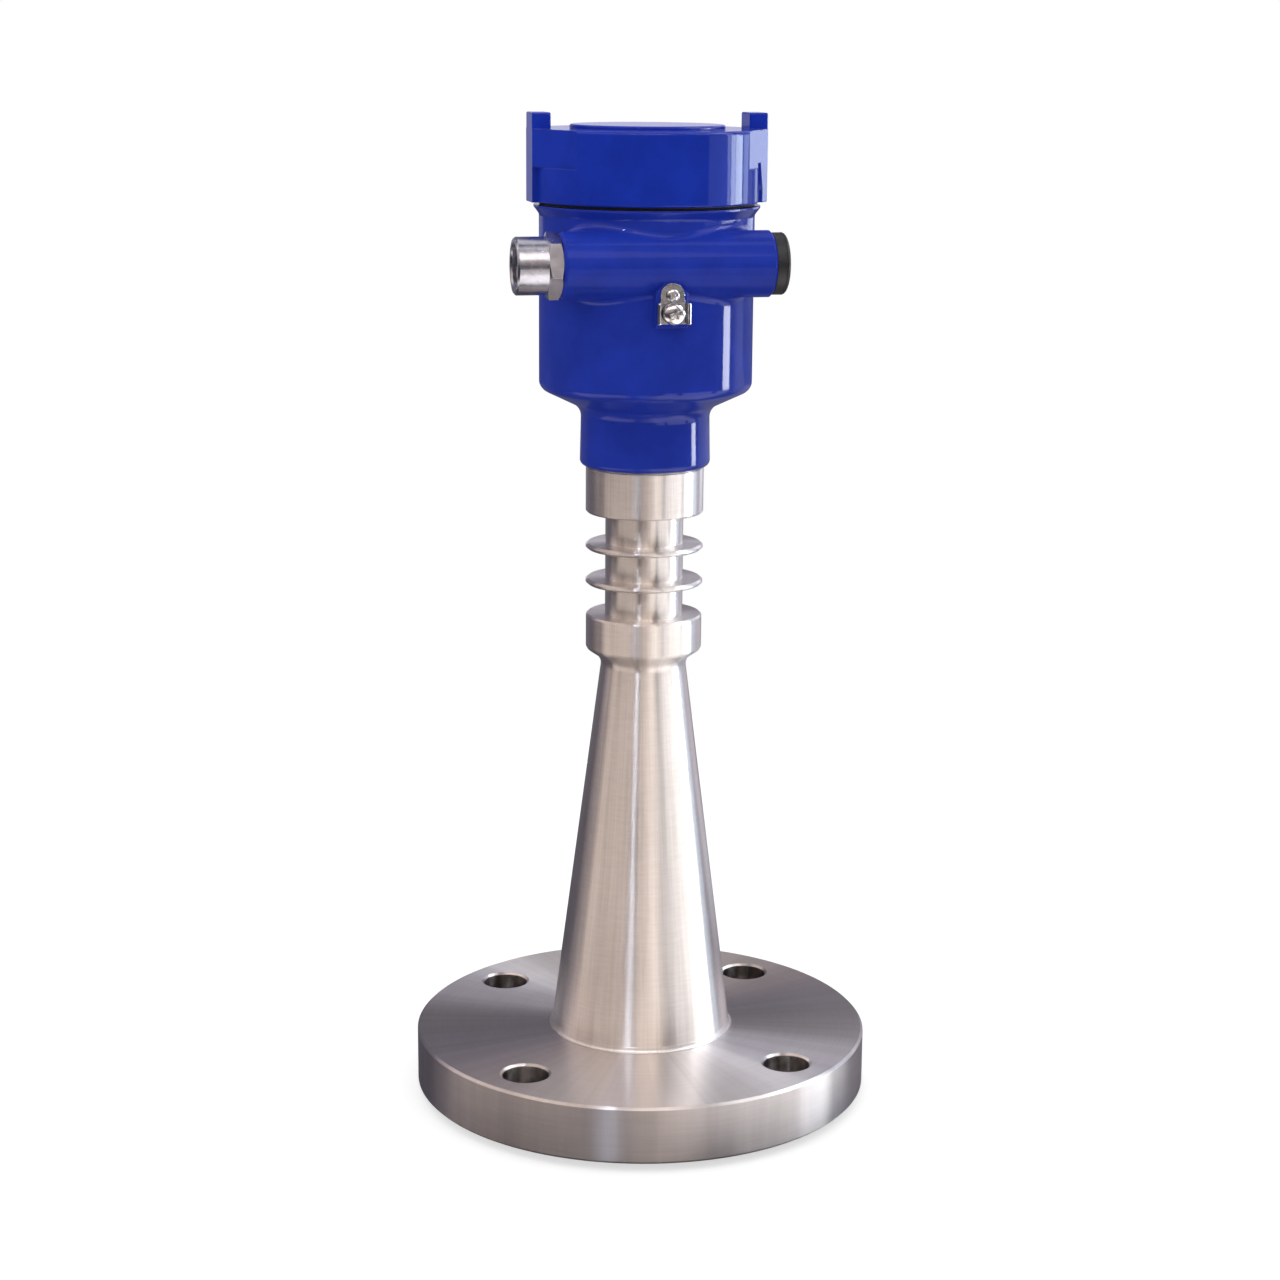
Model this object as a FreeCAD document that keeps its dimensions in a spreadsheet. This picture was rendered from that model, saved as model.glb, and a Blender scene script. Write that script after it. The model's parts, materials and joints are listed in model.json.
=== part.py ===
import FreeCAD, Part
import math
import os
import Sketcher

# Radar level transmitter: a weld-on horn antenna on a pipe flange, a finned
# neck that keeps heat from the electronics, and a two-entry field housing
# with a screwed lid.  Millimetres, +Z up, origin on the resting face at the
# axis.  X runs along the cable entries (blanked entry at +X), the outside
# earth terminal faces -Y.  Heights named "..._rise" are above the flange deck.

doc = FreeCAD.newDocument("RadarLevelTransmitter")

NEAR = 0.01  # how close a measured edge must be to the named place

SIZES = [
    # process flange, 3 inch class 150 pattern, and its lined sealing face
    ("flange_radius", 95.25, "outside of the flange"),
    ("flange_thick", 23.9, "flange plate"),
    ("flange_bevel", 1.0, "bevel on both outer rims"),
    ("bolt_edge", 19.05, "bolt circle to flange rim"),
    ("bolt_line", "=flange_radius - bolt_edge", "radius of the bolt circle"),
    ("bolt_hole_radius", 9.525, "bolt hole"),
    ("bolt_bevel", 0.9, "bevel on the bolt holes"),
    ("bolt_count", 4, "bolt holes"),
    ("bolt_start", 40.3, "angle of the first bolt hole from X"),
    ("facing_margin", 3.175, "bolt holes to sealing face"),
    ("facing_radius", "=bolt_line - bolt_hole_radius - facing_margin", "sealing face"),
    ("facing_thick", 3.0, "lens plate under the flange"),
    ("deck", "=facing_thick + flange_thick", "top face of the flange"),
    # general fits
    ("seat_gap", 0.05, "fit between turned pieces"),
    ("lens_gap", 0.1, "room round the lens and the waveguide"),
    ("cut_over", 1.0, "how far a cut starts outside the metal"),
    ("overlap", 1.0, "how far joined features reach into each other"),
    ("edge_over", 0.01, "how far a bevel cut passes its edge"),
    # horn antenna body
    ("horn_mouth_radius", 33.7, "inside of the cone on the deck"),
    ("mouth_step", 0.3, "flange bore wider than the cone"),
    ("mouth_radius", "=horn_mouth_radius + mouth_step", "bore of the flange"),
    ("cone_foot_wall", 4.2, "cone wall on the deck"),
    ("cone_foot_radius", "=horn_mouth_radius + cone_foot_wall", "foot of the cone"),
    ("horn_neck_radius", 13.9, "inside of the cone under the throat"),
    ("cone_neck_wall", 3.4, "cone wall under the throat"),
    ("cone_top_radius", "=horn_neck_radius + cone_neck_wall", "narrowest outside"),
    ("cone_rise", 160.2, "where the cone meets the collar slope"),
    ("cone_fillet", 5.0, "hollow curve under the collar"),
    ("collar_slope", 4.6, "slope under the lower collar"),
    ("collar_foot_rise", "=cone_rise + collar_slope", "underside of the collar"),
    ("collar_height", 14.4, "lower collar"),
    ("collar_top_rise", "=collar_foot_rise + collar_height", "top of the collar"),
    ("collar_wall", 9.9, "collar round the neck socket"),
    ("collar_radius", "=socket_radius + collar_wall", "lower collar"),
    ("collar_bevel", 0.7, "bevel on collar and neck rims"),
    ("socket_depth", 15.2, "socket bored in the collar"),
    ("socket_rise", "=collar_top_rise - socket_depth", "bottom of the neck socket"),
    ("socket_step", 4.0, "seat of the neck in the socket"),
    ("socket_radius", "=window_seat_radius + socket_step", "neck socket"),
    ("window_step", 3.8, "seat of the window disc"),
    ("window_seat_radius", "=throat_radius + window_step", "counterbore for the window"),
    ("window_thick", 4.0, "window disc"),
    ("throat_rise", "=socket_rise - window_thick", "seat of the window disc"),
    ("throat_step", 0.2, "throat wider than the waveguide"),
    ("throat_radius", "=guide_radius + throat_step", "round throat of the horn"),
    ("throat_taper", 10.0, "length of the throat taper"),
    ("horn_neck_rise", "=throat_rise - throat_taper", "start of the throat taper"),
    ("lens_tip_radius", 1.5, "blunt tip of the lens"),
    ("lens_tip_room", 1.0, "lens tip to window disc"),
    ("lens_tip_rise", "=throat_rise - lens_tip_room", "height of the lens tip"),
    ("bead_width", 3.2, "weld bead round the foot of the cone"),
    ("bead_height", 3.4, "weld bead up the cone"),
    ("bead_waist", 0.95, "thickness at the hollow of the bead"),
    ("bead_toe", 0.42, "thickness near the toes of the bead"),
    ("bead_lean", "=bead_height * (cone_foot_radius - cone_top_radius) / cone_rise",
     "slope of the cone behind the bead"),
    # finned neck
    ("guide_radius", 6.0, "waveguide outside"),
    ("guide_wall", 2.0, "waveguide wall"),
    ("guide_bore", "=guide_radius - guide_wall", "waveguide inside"),
    ("neck_bore", "=guide_radius + lens_gap", "bore for the waveguide"),
    ("stem_step", 2.0, "stem wider than the socket"),
    ("stem_radius", "=socket_radius + stem_step", "stem between the fins"),
    ("head_radius", 24.1, "upper collar"),
    ("fin_radius", "=head_radius", "rim of a fin"),
    ("fin_lift", 13.8, "lower collar to the middle of the first fin"),
    ("fin_rise", "=collar_top_rise + fin_lift", "middle of the first fin"),
    ("fin_pitch", 14.6, "spacing of the fins"),
    ("fin_count", 2, "cooling fins"),
    ("fin_span", "=fin_pitch * (fin_count - 1)", "run of the fins"),
    ("fin_half_root", 1.5, "half thickness at the stem"),
    ("fin_half_rim", 1.15, "half thickness near the rim"),
    ("fin_half_edge", 0.35, "half thickness of the rim edge"),
    ("fin_edge_depth", 0.9, "radial depth of the rim bevel"),
    ("head_lift", 14.1, "last fin to the upper collar"),
    ("head_rise", "=fin_rise + fin_span + head_lift", "underside of the upper collar"),
    ("head_height", 19.25, "upper collar"),
    ("head_top_rise", "=head_rise + head_height", "top of the upper collar"),
    ("spigot_step", 4.1, "shoulder that the housing rests on"),
    ("spigot_radius", "=head_radius - spigot_step", "spigot inside the housing"),
    ("spigot_height", 25.05, "spigot"),
    ("spigot_top_rise", "=head_top_rise + spigot_height", "top of the spigot"),
    ("seal_section", 0.97, "section radius of the small seals"),
    ("seal_groove", 2.05, "depth of a seal groove"),
    ("seal_groove_width", 2.6, "width of a seal groove"),
    ("seal_room", 0.3, "groove below its seal"),
    ("neck_seal_drop", 7.7, "neck seal below the collar top"),
    ("neck_seal_rise", "=collar_top_rise - neck_seal_drop", "seal between horn and neck"),
    ("swivel_seal_lift", 7.05, "swivel seal above the upper collar"),
    ("swivel_seal_rise", "=head_top_rise + swivel_seal_lift", "seal under the housing"),
    ("clip_thick", 1.5, "retaining clip"),
    ("clip_play", 0.1, "room for the clip in its groove"),
    ("clip_groove_width", "=clip_thick + clip_play", "width of the clip groove"),
    ("clip_groove_depth", 1.8, "depth of the clip groove"),
    ("clip_groove_radius", "=spigot_radius - clip_groove_depth", "floor of the groove"),
    ("clip_drop", 4.0, "clip groove below the spigot top"),
    ("clip_groove_rise", "=spigot_top_rise - clip_drop", "lower side of the clip groove"),
    ("clip_width", 2.4, "clip outside the spigot"),
    ("clip_radius", "=spigot_radius + clip_width", "outside of the retaining clip"),
    ("clip_sweep", 316.0, "angle filled by the clip"),
    # field housing
    ("housing_foot_rise", "=head_top_rise + seat_gap", "underside of the housing"),
    ("foot_overhang", 2.5, "housing foot over the upper collar"),
    ("housing_neck_radius", "=head_radius + foot_overhang", "foot of the housing"),
    ("neck_draft", 0.5, "narrowing of the housing neck"),
    ("housing_waist_radius", "=housing_neck_radius - neck_draft", "top of the neck"),
    ("housing_neck_height", 23.7, "housing neck"),
    ("housing_waist_rise", "=housing_foot_rise + housing_neck_height", "foot of the shoulder"),
    ("housing_radius", 43.15, "housing barrel"),
    ("shoulder_slope", 8.1, "height of the shoulder"),
    ("shoulder_rise", "=housing_waist_rise + shoulder_slope", "end of the shoulder"),
    ("barrel_height", 69.5, "straight barrel"),
    ("lip_start_rise", "=shoulder_rise + barrel_height", "start of the flare"),
    ("lip_flare", 2.15, "how far the flare stands out"),
    ("lip_radius", "=housing_radius + lip_flare", "flare under the lid"),
    ("lip_slope", 2.9, "height of the flare"),
    ("lip_rise", "=lip_start_rise + lip_slope", "lower edge of the lip"),
    ("lip_edge", 0.8, "edge of the lip"),
    ("seat_rise", "=lip_rise + lip_edge", "seat of the lid seal"),
    ("thread_step", 1.95, "thread collar inside the barrel line"),
    ("thread_radius", "=housing_radius - thread_step", "threaded collar for the lid"),
    ("thread_height", 20.0, "threaded collar"),
    ("thread_top_rise", "=seat_rise + thread_height", "top of the threaded collar"),
    ("barrel_wall", 4.95, "wall of the barrel"),
    ("cavity_radius", "=housing_radius - barrel_wall", "wiring and electronics space"),
    ("floor_thick", 4.7, "shoulder to ledge"),
    ("ledge_rise", "=shoulder_rise + floor_thick", "ledge that carries the electronics"),
    ("ledge_width", 8.2, "ledge"),
    ("ledge_radius", "=cavity_radius - ledge_width", "inner edge of the ledge"),
    ("well_room", 0.6, "room round the retaining clip"),
    ("well_radius", "=clip_radius + well_room", "well over the spigot"),
    ("well_lift", 4.0, "straight well above the spigot"),
    ("well_taper_rise", "=spigot_top_rise + well_lift", "top of the straight well"),
    ("foot_round", 2.4, "rounding at the housing foot"),
    ("waist_round", 6.0, "hollow curve at the waist"),
    ("shoulder_round", 4.5, "rounding of the shoulder"),
    ("lip_round", 1.6, "hollow curve under the lip"),
    # cross tube with the two cable entries
    ("entry_bore", 9.3, "threaded bore of the entries"),
    ("entry_wall", 3.7, "wall of the cross tube"),
    ("entry_radius", "=entry_bore + entry_wall", "outside of the cross tube"),
    ("entry_inset", 7.15, "tube axis inside the barrel line"),
    ("entry_offset", "=housing_radius - entry_inset", "tube axis from the housing axis"),
    ("entry_drop", 17.3, "tube axis below the flare"),
    ("entry_rise", "=lip_start_rise - entry_drop", "height of the tube axis"),
    ("entry_setback", 1.15, "tube ends inside the barrel line"),
    ("entry_half", "=housing_radius - entry_setback", "half length of the tube"),
    ("entry_bevel", 1.1, "bevel on the tube ends"),
    ("entry_blend", 3.5, "hollow curve from tube to barrel"),
    # outside earth terminal
    ("pad_stand", 4.6, "terminal boss in front of the barrel"),
    ("pad_face", "=housing_radius + pad_stand", "flat of the terminal boss"),
    ("pad_half", 6.3, "half width of the boss"),
    ("pad_sink", 0.2, "boss root inside the barrel wall"),
    ("pad_root", "=cavity_radius - pad_sink", "how far in the boss reaches"),
    ("earth_drop", 17.5, "earth screw below the tube axis"),
    ("earth_rise", "=entry_rise - earth_drop", "height of the earth screw"),
    ("pad_below", 5.9, "boss below the earth screw"),
    ("pad_foot_rise", "=earth_rise - pad_below", "bottom of the boss"),
    ("pin_lift", 6.75, "locating pin above the earth screw"),
    ("pin_rise", "=earth_rise + pin_lift", "height of the locating pin"),
    ("pad_above", 4.9, "boss above the locating pin"),
    ("pad_top_rise", "=pin_rise + pad_above", "top of the boss"),
    ("pad_slope", 3.4, "sloped shoulders of the boss, across"),
    ("pad_shoulder", 4.2, "sloped shoulders of the boss, down"),
    ("earth_shank", 2.4, "earth screw shank"),
    ("earth_bore", "=earth_shank + seat_gap", "thread hole of the earth screw"),
    ("earth_shank_reach", 6.4, "shank inside the boss"),
    ("earth_hole_room", 0.6, "hole deeper than the shank"),
    ("earth_bore_depth", "=earth_shank_reach + earth_hole_room", "depth of that hole"),
    ("pin_shank", 1.5, "locating pin shank"),
    ("pin_bore", "=pin_shank + seat_gap", "hole of the locating pin"),
    ("pin_bore_depth", 3.0, "depth of that hole"),
    ("pin_hole_room", 0.3, "hole deeper than the pin"),
    ("pin_head_radius", 2.35, "locating pin head"),
    ("pin_head_height", 1.2, "locating pin head"),
    ("pin_crown_height", 0.5, "sloped part of that head"),
    ("pin_crown_width", 0.9, "sloped part of that head"),
    ("plate_half", 4.7, "half width of the earth plate"),
    ("plate_thick", 1.2, "earth plate"),
    ("plate_below", 4.1, "plate below the earth screw"),
    ("plate_foot_rise", "=earth_rise - plate_below", "bottom of the earth plate"),
    ("plate_hole_room", 0.2, "screw hole wider than the shank"),
    ("plate_hole", "=earth_shank + plate_hole_room", "screw hole in plate and clamp"),
    ("clamp_half", 6.5, "half width of the saddle clamp"),
    ("clamp_thick", 1.2, "saddle clamp sheet"),
    ("clamp_half_height", 4.1, "half height of the saddle clamp"),
    ("clamp_leg", 2.6, "how far the clamp legs stand out"),
    ("clamp_round", 0.8, "rounding of the clamp bends"),
    ("ear", "=clamp_thick + clamp_leg", "depth of the clamp channel"),
    ("washer_room", 0.15, "washer wider than the shank"),
    ("washer_bore", "=earth_shank + washer_room", "spring washer inside"),
    ("washer_width", 1.35, "spring washer section"),
    ("washer_radius", "=washer_bore + washer_width", "spring washer outside"),
    ("washer_thick", 1.2, "spring washer"),
    ("washer_sweep", 352.0, "angle filled by the washer"),
    ("head_overlap", 0.25, "earth screw head over the washer"),
    ("earth_head_radius", "=washer_radius + head_overlap", "earth screw head"),
    ("earth_head_height", 2.7, "earth screw head"),
    ("earth_head_round", 1.3, "rounding of that head"),
    ("slot_margin", 1.7, "cross slot inside the head rim"),
    ("slot_reach", "=earth_head_radius - slot_margin", "half length of the cross slot"),
    ("slot_half", 0.5, "half width of the driver slots"),
    ("slot_depth", 1.1, "driver slots"),
    # swivel lock screw in the back of the housing neck
    ("lock_lift", 14.5, "lock screw above the housing foot"),
    ("lock_rise", "=housing_foot_rise + lock_lift", "height of the lock screw"),
    ("lock_radius", 2.45, "lock screw"),
    ("lock_bore", "=lock_radius + seat_gap", "hole of the lock screw"),
    ("lock_room", 0.2, "lock screw to spigot"),
    ("lock_start", "=spigot_radius + lock_room", "inner end of the lock screw"),
    ("lock_sink", 1.0, "lock screw below the neck's outside"),
    ("lock_end", "=housing_neck_radius - lock_sink", "outer end of the lock screw"),
    ("lock_point", 0.7, "bevel on the inner end"),
    ("lock_socket", 1.25, "socket of the lock screw"),
    ("lock_socket_depth", 2.2, "depth of that socket"),
    # screwed lid
    ("lid_gap", 1.3, "lip to lid"),
    ("lid_foot_rise", "=seat_rise + lid_gap", "underside of the lid"),
    ("lid_overhang", 0.7, "lid rim outside the lip"),
    ("lid_radius", "=lip_radius + lid_overhang", "lid rim"),
    ("lid_step_lift", 13.7, "ribbed lower half of the lid"),
    ("lid_step_rise", "=lid_foot_rise + lid_step_lift", "step from ribs to flats"),
    ("thread_room", 0.1, "lid thread round the collar thread"),
    ("lid_bore", "=thread_radius + thread_room", "female thread of the lid"),
    ("collar_room", 4.4, "thread collar to lid ceiling"),
    ("lid_ceiling_rise", "=thread_top_rise + collar_room", "ceiling inside the lid"),
    ("lid_roof", 5.4, "thickness of the lid's top"),
    ("lid_top_rise", "=lid_ceiling_rise + lid_roof", "top of the lid"),
    ("lid_seal_section", 1.1, "section radius of the lid seal"),
    ("lid_seal_radius", "=thread_radius + lid_seal_section + seat_gap", "lid seal"),
    ("recess_wall", 2.5, "skirt round the lid seal"),
    ("lid_recess_radius", "=lid_radius - recess_wall", "recess that carries the seal"),
    ("lid_recess_rise", "=seat_rise + 2 * lid_seal_section + 2 * seat_gap", "its ceiling"),
    ("lid_top_round", 1.3, "rounding of the lid rim"),
    ("lid_foot_round", 0.7, "rounding of the lid foot"),
    ("plateau_margin", 15.0, "raised field to the lid rim"),
    ("plateau_radius", "=lid_radius - plateau_margin", "raised field on the lid"),
    ("plateau_height", 1.6, "raised field on the lid"),
    ("lug_stand", 1.6, "lug face outside the rim"),
    ("lug_reach", "=lid_radius + lug_stand", "outer face of a lug"),
    ("lug_depth", 7.5, "lug, in to out"),
    ("lug_inner", "=lug_reach - lug_depth", "inner face of a lug"),
    ("rib_root", 3.0, "rib root outside the lug's inner face"),
    ("lug_half", 7.2, "half width of a lug"),
    ("lug_height", 6.3, "lug above the lid"),
    ("lug_round", 0.7, "rounding of the lug edges"),
    ("flat_angle", 30.0, "turn of a lid flat from the lug face"),
    ("flat_run", 27.0, "length of a lid flat"),
    ("flat_clear", 6.0, "how far outside the flat is cut"),
    ("flat_far_x", "=lug_reach - flat_run * sin(flat_angle)", "far end of a flat"),
    ("flat_far_y", "=lug_half + flat_run * cos(flat_angle)", "far end of a flat"),
    ("flat_out_x", "=flat_clear * cos(flat_angle)", "outward step of the cut"),
    ("flat_out_y", "=flat_clear * sin(flat_angle)", "outward step of the cut"),
    ("flank_x", "=lug_reach - flat_run / 3 * sin(flat_angle)", "root of a lug flank"),
    ("flank_y", "=lug_half + flat_run / 3 * cos(flat_angle)", "root of a lug flank"),
    ("rib_flank", 6.8, "flank of a rib on its notched side"),
    ("rib_wall_x", "=lug_reach - rib_flank * sin(flat_angle)", "outer end of the rib's wall"),
    ("rib_wall_y", "=lug_half + rib_flank * cos(flat_angle)", "outer end of the rib's wall"),
    ("notch_depth", 1.7, "notch beside a rib"),
    ("notch_turn", 16.1, "turn of the notch floor from the lug face"),
    ("notch_run", 15.0, "length of the notch floor"),
    ("notch_reach", "=lid_radius - notch_depth", "notch floor to the lid's axis"),
    ("notch_x", "=(notch_reach - rib_wall_y * sin(notch_turn)) / cos(notch_turn)", "notch corner"),
    ("notch_far_x", "=notch_x - notch_run * sin(notch_turn)", "far end of the notch floor"),
    ("notch_far_y", "=rib_wall_y + notch_run * cos(notch_turn)", "far end of the notch floor"),
    ("notch_lift", 15.6, "roof of the notch above the lid's foot"),
    ("notch_slant_run", 10.5, "slant of the roof along the floor"),
    ("notch_slant_fall", 2.9, "fall of the roof to the rib"),
    # cable adapter and blind plug
    ("shank_radius", "=entry_bore - seat_gap", "male threads in the entries"),
    ("shank_bevel", 0.6, "lead-in of the male threads"),
    ("adapter_bore", 8.2, "female thread of the adapter"),
    ("adapter_wall", 3.0, "wall of the adapter"),
    ("adapter_radius", "=adapter_bore + adapter_wall", "adapter barrel"),
    ("hex_margin", 0.3, "hexagon flat outside the barrel"),
    ("hex_half", "=adapter_radius + hex_margin", "hexagon, half across flats"),
    ("hex_corner", "=hex_half / cos(30)", "hexagon corner radius"),
    ("hex_length", 5.5, "hexagon length"),
    ("hex_turn", 13.2, "turn of the hexagon"),
    ("hex_bevel", 0.9, "corner bevel of the hexagon"),
    ("barrel_length", 12.2, "adapter barrel past the hexagon"),
    ("adapter_length", "=hex_length + barrel_length", "adapter outside the tube"),
    ("adapter_bore_floor", 3.2, "end of the female thread"),
    ("adapter_step", 1.7, "cable way narrower than the thread"),
    ("adapter_way", "=adapter_bore - adapter_step", "cable way"),
    ("adapter_bevel", 0.7, "bevels of the adapter mouth"),
    ("shank_length", 12.0, "male thread of the adapter"),
    ("plug_radius", 12.1, "blind plug head"),
    ("plug_rim", 4.0, "cylindrical part of the plug head"),
    ("plug_dome", 1.3, "height of the plug crown"),
    ("plug_height", "=plug_rim + plug_dome", "plug head"),
    ("plug_crown_edge", 3.1, "slope of the plug crown"),
    ("plug_crown", "=plug_radius - plug_crown_edge", "flat of the plug crown"),
    ("plug_shank_length", 10.0, "plug shank"),
    ("plug_wall", 2.65, "wall of the plug shank"),
    ("plug_hollow", "=shank_radius - plug_wall", "hollow in the plug shank"),
    ("plug_end", 2.0, "bottom of that hollow inside the shank"),
    ("plug_hollow_depth", "=plug_shank_length - plug_end", "hollow in the shank"),
    # electronics
    ("pot_room", 1.4, "pot to cavity wall"),
    ("pot_radius", "=cavity_radius - pot_room", "electronics pot"),
    ("pot_wall", 1.8, "pot wall"),
    ("pot_floor", 2.0, "pot floor"),
    ("pot_height", 28.5, "electronics pot"),
    ("pot_top_rise", "=ledge_rise + pot_height", "top of the pot"),
    ("column_radius", 3.6, "screw column in the pot"),
    ("column_inset", 5.4, "column inside the pot's outside"),
    ("column_x", "=pot_radius - column_inset", "screw column place"),
    ("column_y", 10.0, "screw column place"),
    ("deck_screw_shank", 1.5, "deck screw shank"),
    ("column_hole_room", 0.15, "column hole wider than its screw"),
    ("column_hole", "=deck_screw_shank + column_hole_room", "hole through the column"),
    ("ledge_hole_depth", 6.0, "screw hole in the ledge"),
    ("ledge_hole_room", 0.3, "that hole deeper than its screw"),
    ("board_margin", 1.3, "boards to the screw columns"),
    ("board_radius", "=column_x - column_radius - board_margin", "circuit boards"),
    ("board_thick", 1.6, "circuit boards"),
    ("board_hole", 1.6, "fixing holes of the boards"),
    ("post_inset", 4.5, "board posts inside the board rim"),
    ("post_circle", "=board_radius - post_inset", "circle of the board posts"),
    ("post_radius", 3.0, "board posts"),
    ("post_count", 4, "board posts"),
    ("post_height", 3.5, "board posts"),
    ("spacer_radius", 2.5, "spacers between the boards"),
    ("spacer_height", 9.4, "spacers between the boards"),
    ("chip_long", 17.0, "main chip"),
    ("chip_wide", 13.0, "main chip"),
    ("chip_high", 2.4, "main chip"),
    ("chip_set", 4.0, "main chip off the axis"),
    ("module_room", 3.0, "microwave module to well"),
    ("module_radius", "=well_radius - module_room", "microwave module"),
    ("module_lift", 2.0, "spigot to microwave module"),
    ("module_foot_rise", "=spigot_top_rise + module_lift", "underside of the module"),
    ("guide_plug", 3.0, "waveguide inside the module"),
    ("guide_top_rise", "=module_foot_rise + guide_plug", "waveguide end"),
    ("module_socket_room", 4.0, "socket past the waveguide"),
    ("module_socket_top", "=guide_top_rise + module_socket_room", "end of the socket"),
    # terminal deck, block and screws
    ("deck_thick", 3.0, "terminal deck"),
    ("pole_count", 6, "terminals"),
    ("pole_pitch", 5.4, "terminals"),
    ("pole_start", "=0 - pole_pitch * (pole_count - 1) / 2", "first terminal"),
    ("pole_span", "=pole_pitch * (pole_count - 1)", "run of the terminals"),
    ("block_end", 4.4, "block past the last terminal"),
    ("block_half", "=pole_span / 2 + block_end", "half length of the block"),
    ("block_wide", 13.0, "terminal block"),
    ("block_high", 11.0, "terminal block"),
    ("block_y", 4.0, "front of the terminal block"),
    ("pole_set", 9.0, "terminal screws behind the block's front"),
    ("pole_screw_radius", 1.8, "terminal screws"),
    ("pole_screw_room", 0.2, "room round the terminal screws"),
    ("pole_hole_radius", "=pole_screw_radius + pole_screw_room", "terminal screw holes"),
    ("pole_hole_depth", 4.5, "holes of the terminal screws"),
    ("pole_screw_high", 3.2, "terminal screws"),
    ("pole_slot_half", 1.3, "half length of the terminal slots"),
    ("pole_slot_width", 0.25, "half width of the terminal slots"),
    ("pole_slot_depth", 0.8, "terminal slots"),
    ("wire_hole", 3.4, "wire entries, square"),
    ("wire_hole_start", "=pole_start - wire_hole / 2", "first wire entry"),
    ("wire_hole_depth", 7.0, "wire entries"),
    ("wire_hole_foot", 1.6, "wire entries above the deck"),
    ("deck_screw_head", 2.8, "deck screw head"),
    ("deck_screw_head_high", 2.0, "deck screw head"),
    ("bond_inset", 14.8, "inner earth screw inside the deck rim"),
    ("bond_x", "=pot_radius - bond_inset", "inner earth screw place"),
    ("bond_y", 14.0, "inner earth screw place"),
    ("bond_head", 3.2, "inner earth screw head"),
    ("bond_high", 2.4, "inner earth screw head"),
    ("bond_bevel", 0.5, "bevel of that head"),
    ("bond_shank", 1.8, "inner earth screw shank"),
    ("bond_hole", "=bond_shank + seat_gap", "inner earth screw hole"),
    ("bond_hole_depth", 2.5, "inner earth screw hole"),
    ("bond_hole_room", 0.2, "that hole deeper than its screw"),
]

sheet = doc.addObject("Spreadsheet::Sheet", "Sizes")
for row, (alias, content, meaning) in enumerate(SIZES, start=1):
    sheet.set("A%d" % row, meaning)
    sheet.set("B%d" % row, str(content))
    sheet.setAlias("B%d" % row, alias)
doc.recompute()


def amount(text):
    """Value of a sum such as "deck + fin_rise" of named sizes."""
    total = 0.0
    sign = 1.0
    for word in text.split():
        if word in "+-":
            sign = 1.0 if word == "+" else -1.0
        else:
            total += sign * (float(word) if word[0].isdigit() else float(sheet.get(word)))
            sign = 1.0
    return total


def formula(text):
    """The same sum written for setExpression."""
    words = []
    for word in text.split():
        words.append(word if word in "+-" or word[0].isdigit() else "Sizes." + word)
    return " ".join(words)


def new_body(label, lift=None):
    """An empty body that keeps its own label and placement."""
    body = doc.addObject("PartDesign::Body", label)
    body.Label = label
    if lift:
        body.setExpression("Placement.Base.z", formula(lift))
    return body


def origin_feature(body, role):
    """Origin plane or axis of a body, found by its role."""
    return [item for item in body.Origin.OriginFeatures if item.Role == role][0]


def new_sketch(body, name, role, offset=None, turn=None):
    """A sketch on an origin plane, shifted along its normal and turned in it."""
    sketch = body.newObject("Sketcher::SketchObject", name)
    sketch.AttachmentSupport = (origin_feature(body, role), [""])
    sketch.MapMode = "FlatFace"
    if turn:
        angle = amount(turn)
        turned = FreeCAD.Rotation(FreeCAD.Vector(0, 0, 1), angle)
        sketch.AttachmentOffset = FreeCAD.Placement(FreeCAD.Vector(0, 0, 0), turned)
        sketch.setExpression("AttachmentOffset.Rotation.Angle", formula(turn))
    if offset:
        sketch.setExpression("AttachmentOffset.Base.z", formula(offset))
    return sketch


def pin_point(sketch, edge, end, across, along):
    """Holds one sketch point at two named distances from the sketch origin."""
    for kind, text, axis in (("DistanceX", across, -2), ("DistanceY", along, -1)):
        size = amount(text)
        if abs(size) < 1e-9:
            sketch.addConstraint(Sketcher.Constraint("PointOnObject", edge, end, axis))
        else:
            index = sketch.addConstraint(Sketcher.Constraint(kind, -1, 1, edge, end, size))
            sketch.setExpression("Constraints[%d]" % index, formula(text))


def draw_loop(sketch, corners):
    """A closed outline of straight lines through named corners."""
    places = [FreeCAD.Vector(amount(across), amount(along), 0) for across, along in corners]
    first = sketch.GeometryCount
    count = len(corners)
    for index in range(count):
        sketch.addGeometry(Part.LineSegment(places[index], places[(index + 1) % count]))
    for index in range(count):
        after = first + (index + 1) % count
        sketch.addConstraint(Sketcher.Constraint("Coincident", first + index, 2, after, 1))
    for index, (across, along) in enumerate(corners):
        pin_point(sketch, first + index, 1, across, along)


def draw_circle(sketch, across, along, radius):
    """A circle with a named centre and radius."""
    centre = FreeCAD.Vector(amount(across), amount(along), 0)
    circle = Part.Circle(centre, FreeCAD.Vector(0, 0, 1), amount(radius))
    edge = sketch.addGeometry(circle)
    index = sketch.addConstraint(Sketcher.Constraint("Radius", edge, amount(radius)))
    sketch.setExpression("Constraints[%d]" % index, formula(radius))
    pin_point(sketch, edge, 3, across, along)


def mirror_text(text):
    """The same sum on the other side of the axis."""
    flipped = []
    for word in ("+ " + text if text.split()[0] not in "+-" else text).split():
        flipped.append({"+": "-", "-": "+"}.get(word, word))
    return " ".join(flipped)


def revolve(body, name, corners, sweep=None, cut=False):
    """Turns a half section about the body's Z axis, adding or cutting."""
    sketch = new_sketch(body, name + "_section", "XZ_Plane")
    draw_loop(sketch, corners)
    feature = body.newObject("PartDesign::Groove" if cut else "PartDesign::Revolution", name)
    feature.Profile = sketch
    feature.ReferenceAxis = (sketch, ["V_Axis"])
    if sweep:
        feature.setExpression("Angle", formula(sweep))
    doc.recompute()
    return feature


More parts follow.
